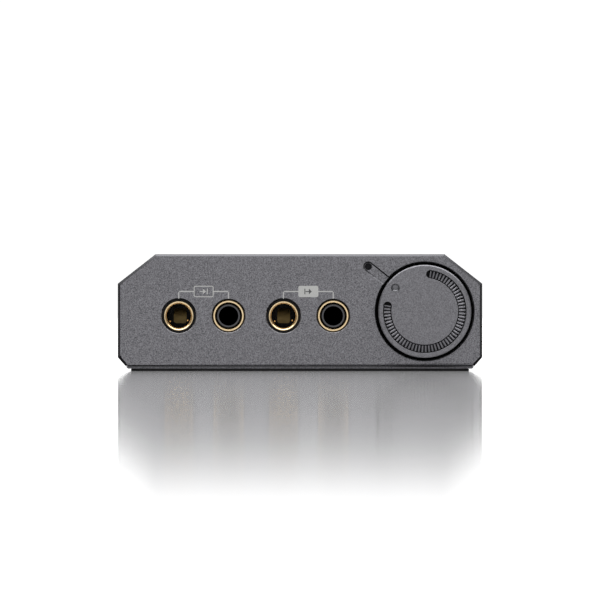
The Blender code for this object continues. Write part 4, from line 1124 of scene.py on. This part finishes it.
class AMPLIFIER_OT_printing(PieceOperator, bpy.types.Operator):
    """Prints the bracket over each pair of jacks, with an arrow in its box"""

    bl_idname = "amplifier.printing"
    bl_label = "Printing"

    ink = 0.012 * MM

    def execute(self, context):
        sizes = self.sizes
        line, width, height = sizes.print_line, sizes.print_box_width, sizes.print_box_height
        for pair, filled in (("input", False), ("output", True)):
            left, right = middle(f"{pair}_balanced_sleeve").x, middle(f"{pair}_single_collar").x
            centre, level = (left + right) / 2, sizes.print_height
            parts = [self.box(centre, level, width, height, 0.34 * MM, None if filled else line * 0.8)]
            for jack, side in ((left, -1), (right, 1)):
                edge = centre + side * width / 2
                parts.append(self.bar(jack - side * line / 2, edge, level - line / 2, level + line / 2))
                parts.append(self.bar(jack - line / 2, jack + line / 2, level - sizes.print_drop, level - line / 2))
            glyph = self.arrow(centre, level, height, pair)
            if filled:
                piece(f"{pair}_bracket", merged(*parts), ["print"], "casing", ())
                piece(f"{pair}_arrow", glyph, ["ink"], "casing", ())
            else:
                piece(f"{pair}_bracket", merged(*parts, glyph), ["print"], "casing", ())
        return {"FINISHED"}

    def raised(self, bm, layers=1):
        """Turns flat faces at y = 0 into ink on the panel's face."""
        made = bmesh.ops.extrude_face_region(bm, geom=bm.faces[:])
        lifted = [item for item in made["geom"] if isinstance(item, bmesh.types.BMVert)]
        bmesh.ops.translate(bm, verts=lifted, vec=(0, -self.ink * layers, 0))
        bmesh.ops.translate(bm, verts=bm.verts, vec=(0, FRONT + 0.002 * MM, 0))
        bmesh.ops.recalc_face_normals(bm, faces=bm.faces)
        return bm

    def sheet(self, x, z, width, height):
        """A flat rectangle at y = 0."""
        bm = bmesh.new()
        place = Matrix.Translation((x, 0, z)) @ Matrix.Rotation(math.pi / 2, 4, "X")
        size = Matrix.Diagonal((width, height, 1, 1))
        bmesh.ops.create_grid(bm, x_segments=1, y_segments=1, size=0.5, matrix=place @ size)
        return bm

    def bar(self, x0, x1, z0, z1):
        return self.raised(self.sheet((x0 + x1) / 2, (z0 + z1) / 2, abs(x1 - x0), z1 - z0))

    def box(self, x, z, width, height, radius, line):
        """A box with round corners, filled, or only its outline if a line width is given."""
        bm = self.sheet(x, z, width, height)
        bmesh.ops.bevel(
            bm, geom=bm.verts[:], offset=radius, segments=6, profile=0.5, affect="VERTICES", material=-1
        )
        if line:
            inner = bm.faces[:]
            bmesh.ops.inset_region(bm, faces=inner, thickness=line, use_even_offset=True, use_boundary=True)
            bmesh.ops.delete(bm, geom=inner, context="FACES_ONLY")
        return self.raised(bm)

    def arrow(self, x, z, height, pair):
        """An arrow that points at a bar for the input, and away from one for the output."""
        tall, stroke = height * 0.5, self.sizes.print_line * 0.85
        layers = 2 if pair == "output" else 1
        x += 0.22 * MM if pair == "output" else 0.0
        point = bmesh.new()
        corners = [(x + 0.42 * MM, z), (x - 0.12 * MM, z + tall / 2), (x - 0.12 * MM, z - tall / 2)]
        point.faces.new([point.verts.new((a, 0, b)) for a, b in corners])
        shaft = self.sheet(x - 0.4 * MM, z, 0.62 * MM, stroke)
        bar_x = x + 0.68 * MM if pair == "input" else x - 0.86 * MM
        bar = self.sheet(bar_x, z, stroke, tall)
        return merged(*[self.raised(shape, layers) for shape in (point, shaft, bar)])


class AMPLIFIER_OT_status_light(PieceOperator, bpy.types.Operator):
    """Builds the tip of the light pipe at the end of the index channel"""

    bl_idname = "amplifier.status_light"
    bl_label = "Status light"

    def execute(self, context):
        frame["nodes"]["status_light_pipe"].data.materials.clear()
        frame["nodes"]["status_light_pipe"].data.materials.append(MATERIALS["lens"])
        tip = LIGHT_PIPE[0].y
        radius = LIGHT_RADIUS
        profile = [
            (radius + 0.03 * MM, tip + 0.6 * MM, 0),
            (radius + 0.03 * MM, tip - 0.12 * MM, 0.03 * MM),
            (radius * 0.72, tip - 0.12 * MM, 0.03 * MM),
            (radius * 0.66, tip + 0.02 * MM, 0.02 * MM),
            (radius * 0.4, tip - 0.03 * MM, 0.02 * MM),
            (0, tip - 0.05 * MM, 0),
        ]
        lens = lathe(softened_path(profile, 0), (LIGHT_X, LIGHT_Z), 48)
        bmesh.ops.holes_fill(lens, edges=lens.edges, sides=0)
        bmesh.ops.recalc_face_normals(lens, faces=lens.faces)
        piece("status_lens", lens, ["lens"], "casing", ())
        return {"FINISHED"}


class AMPLIFIER_OT_sliders(PieceOperator, bpy.types.Operator):
    """Builds the caps of the three slide switches, with the marks beside them"""

    bl_idname = "amplifier.sliders"
    bl_label = "Slide switches"

    def execute(self, context):
        for name in ("gain", "bias", "crossfeed"):
            cap = copied(f"{name}_slider")
            softened(cap, 0.06 * MM, lambda e, a: a > 60 and all(v.co.x < SIDE + 1.0 * MM for v in e.verts), 2)
            piece(f"{name}_cap_finish", cap, ["knob"], name, [f"{name}_slider"])
            self.marks(name)
        return {"FINISHED"}

    @staticmethod
    def marks(name):
        """Printed dots above the slot, one for each position."""
        joint = next(j for j in frame["joints"] if j["child"] == name)
        low, high = joint["range_m"]
        centre = middle(f"{name}_slider")
        stops = (low, 0.0, high) if low < 0 else (low, high)
        dots = []
        for number, stop in enumerate(stops):
            dot = bmesh.new()
            place = Matrix.Translation((SIDE - 0.003 * MM, centre.y - stop, centre.z + 3.1 * MM)) @ Matrix.Rotation(
                math.pi / 2, 4, "Y"
            )
            radius = (0.22 + 0.08 * number) * MM
            bmesh.ops.create_cone(
                dot, cap_ends=True, segments=24, radius1=radius, radius2=radius, depth=0.016 * MM, matrix=place
            )
            dots.append(dot)
        piece(f"{name}_marks", merged(*dots), ["print"], "casing", ())


class AMPLIFIER_OT_rear_controls(PieceOperator, bpy.types.Operator):
    """Builds the power button, the charging port and the charge light"""

    bl_idname = "amplifier.rear_controls"
    bl_label = "Rear controls"

    def execute(self, context):
        low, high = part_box("power_button")
        centre = ((low.x + high.x) / 2, (low.z + high.z) / 2)
        flange = (high.x - low.x) / 2
        face = high.y
        profile = [
            (0, face - 0.16 * MM, 0),
            (1.6 * MM, face - 0.08 * MM, 0.6 * MM),
            (2.1 * MM, face, 0.1 * MM),
            (2.4 * MM, face - 0.18 * MM, 0.1 * MM),
            (2.4 * MM, face - 2.15 * MM, 0.02 * MM),
            (flange, face - 2.15 * MM, 0.02 * MM),
            (flange, face - 2.75 * MM, 0.02 * MM),
            (1.0 * MM, face - 2.75 * MM, 0.02 * MM),
            (1.0 * MM, low.y, 0.02 * MM),
            (0, low.y, 0),
        ]
        button = lathe(softened_path(profile, 0), centre, 96)
        piece("power_button_finish", button, ["knob"], "power", ["power_button"])

        shell = copied("usb_shell")
        softened(shell, 0.08 * MM, lambda e, a: a > 60 and all(v.co.y > REAR - 0.5 * MM for v in e.verts), 2)
        piece("usb_shell_finish", shell, ["tin"], "casing", ["usb_shell"])
        tongue = copied("usb_tongue")
        softened(tongue, 0.1 * MM, lambda e, a: a > 60 and all(v.co.y > REAR - 1.2 * MM for v in e.verts), 2)
        piece("usb_tongue_finish", tongue, ["moulding"], "casing", ["usb_tongue"])
        self.port_contacts()

        low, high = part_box("charge_light_pipe")
        radius = (high.x - low.x) / 2
        profile = [
            (0, low.y, 0),
            (radius, low.y, 0.02 * MM),
            (radius, high.y, 0.15 * MM),
            (radius * 0.5, high.y + 0.02 * MM, 0.2 * MM),
            (0, high.y + 0.03 * MM, 0),
        ]
        pipe = lathe(softened_path(profile, 0), ((low.x + high.x) / 2, (low.z + high.z) / 2), 48)
        piece("charge_lens", pipe, ["lens"], "casing", ["charge_light_pipe"])
        self.marks()
        return {"FINISHED"}

    @staticmethod
    def port_contacts():
        """Twelve gold contacts on each face of the port's tongue."""
        low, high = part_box("usb_tongue")
        centre = (low + high) / 2
        pitch, half = 0.5 * MM, 0.35 * MM
        strips = []
        for side in (-1, 1):
            for number in range(12):
                x = centre.x + (number - 5.5) * pitch
                z = centre.z + side * half
                strips.append(
                    block(
                        (x - 0.12 * MM, high.y - 4.2 * MM, z - 0.02 * MM),
                        (x + 0.12 * MM, high.y - 0.6 * MM, z + 0.02 * MM),
                    )
                )
        piece("usb_contacts", merged(*strips), ["gold"], "casing", ())

    @staticmethod
    def marks():
        """The usual on and off symbol over the power button: an open ring with a bar in its gap."""
        button = middle("power_button")
        y = REAR + 0.006 * MM
        x, z = button.x, button.z + 5.0 * MM
        ring = bmesh.new()
        start = math.radians(35)
        radii = (0.75 * MM, 0.95 * MM)
        ends = [ring.verts.new((x + r * math.sin(start), y, z + r * math.cos(start))) for r in radii]
        edge = ring.edges.new(ends)
        bmesh.ops.spin(
            ring, geom=[*ends, edge], cent=(x, y, z), axis=(0, 1, 0), angle=math.radians(290), steps=48
        )
        bar = bmesh.new()
        place = Matrix.Translation((x, y, z + 0.62 * MM)) @ Matrix.Rotation(math.pi / 2, 4, "X")
        bmesh.ops.create_grid(
            bar, x_segments=1, y_segments=1, size=0.5, matrix=place @ Matrix.Diagonal((0.2 * MM, 0.8 * MM, 1, 1))
        )
        symbol = merged(ring, bar)
        made = bmesh.ops.extrude_face_region(symbol, geom=symbol.faces[:])
        lifted = [item for item in made["geom"] if isinstance(item, bmesh.types.BMVert)]
        bmesh.ops.translate(symbol, verts=lifted, vec=(0, -0.009 * MM, 0))
        bmesh.ops.recalc_face_normals(symbol, faces=symbol.faces)
        piece("power_symbol", symbol, ["print"], "casing", ())


class AMPLIFIER_OT_stage(PieceOperator, bpy.types.Operator):
    """Makes the floor, the backdrop's light and the camera"""

    bl_idname = "amplifier.stage"
    bl_label = "Stage"

    def execute(self, context):
        scene = context.scene
        scene.view_settings.view_transform = "Standard"
        self.floor()
        self.surroundings(scene)
        self.softbox("top_softbox", (0, FRONT - 0.16, 0.65), (1.5, 0.45), self.look.softbox)
        self.camera(scene)
        return {"FINISHED"}

    def floor(self):
        bm = bmesh.new()
        bmesh.ops.create_grid(bm, x_segments=1, y_segments=1, size=self.sizes.floor_size / 2)
        mesh = bpy.data.meshes.new("floor")
        bm.to_mesh(mesh)
        bm.free()
        mesh.materials.append(pale_floor("pale_floor"))
        floor = bpy.data.objects.new("floor", mesh)
        bpy.context.scene.collection.objects.link(floor)

    def surroundings(self, scene):
        """White where the camera looks. The pieces see light from above and in front, and darker sides."""
        look = self.look
        scene.world = bpy.data.worlds.new("surroundings")
        scene.world.use_nodes = True
        graph = Graph(scene.world.node_tree)
        direction = graph.add("ShaderNodeTexCoord", output="Generated")
        split = graph.add("ShaderNodeSeparateXYZ", {}, {"Vector": direction})
        parts = split.socket.node.outputs
        y, z = (Signal(graph, parts[axis]) for axis in "YZ")
        ahead = (0.0 - y).at_least(0.0)
        behind = y.at_least(0.0)
        above = z.at_least(0.0)
        level = (
            ahead**2.0 * look.front_fill
            + behind**2.0 * look.back_light
            + above**2.0 * look.top_light
            + look.side_light
        )
        seen = graph.add("ShaderNodeLightPath", output="Is Camera Ray")
        strength = level * (1.0 - seen) + seen * look.backdrop
        shine = graph.add("ShaderNodeBackground", {}, {"Color": (1, 1, 1, 1), "Strength": strength})
        graph.add("ShaderNodeOutputWorld", {}, {"Surface": shine})

    @staticmethod
    def softbox(name, place, size, watts):
        """A softbox that faces down."""
        light = bpy.data.lights.new(name, "AREA")
        light.shape = "RECTANGLE"
        light.size, light.size_y = size
        light.energy = watts
        lamp = bpy.data.objects.new(name, light)
        lamp.location = place
        lamp.visible_camera = False
        bpy.context.scene.collection.objects.link(lamp)

    def camera(self, scene):
        lens = bpy.data.cameras.new("camera")
        lens.lens = lens.sensor_width * self.sizes.camera_distance / self.sizes.frame_width
        lens.clip_end = 50.0
        camera = bpy.data.objects.new("camera", lens)
        camera.location = (0, FRONT - self.sizes.camera_distance, self.sizes.camera_height)
        camera.rotation_euler = (math.pi / 2, 0, 0)
        scene.collection.objects.link(camera)
        scene.camera = camera


OPERATORS = (
    AMPLIFIER_OT_finishes,
    AMPLIFIER_OT_casing,
    AMPLIFIER_OT_pad,
    AMPLIFIER_OT_balanced_jacks,
    AMPLIFIER_OT_single_jacks,
    AMPLIFIER_OT_volume_knob,
    AMPLIFIER_OT_printing,
    AMPLIFIER_OT_status_light,
    AMPLIFIER_OT_sliders,
    AMPLIFIER_OT_rear_controls,
    AMPLIFIER_OT_stage,
)


class AMPLIFIER_PT_pieces(bpy.types.Panel):
    """Lists the settings and the pieces"""

    bl_label = "Headphone Amplifier"
    bl_space_type = "VIEW_3D"
    bl_region_type = "UI"
    bl_category = "Amplifier"

    def draw(self, context):
        for group in (context.scene.amplifier_sizes, context.scene.amplifier_finish):
            column = self.layout.column(align=True)
            for name in type(group).__annotations__:
                column.prop(group, name)
        column = self.layout.column(align=True)
        for operator in OPERATORS:
            column.operator(operator.bl_idname)


CLASSES = (AmplifierSizes, AmplifierFinish, *OPERATORS, AMPLIFIER_PT_pieces)


def register():
    for cls in CLASSES:
        bpy.utils.register_class(cls)
    bpy.types.Scene.amplifier_sizes = bpy.props.PointerProperty(type=AmplifierSizes)
    bpy.types.Scene.amplifier_finish = bpy.props.PointerProperty(type=AmplifierFinish)


def unregister():
    del bpy.types.Scene.amplifier_finish
    del bpy.types.Scene.amplifier_sizes
    for cls in reversed(CLASSES):
        bpy.utils.unregister_class(cls)


def main():
    register()
    for operator in OPERATORS:
        group, name = operator.bl_idname.split(".")
        getattr(getattr(bpy.ops, group), name)()


if __name__ == "__main__":
    main()
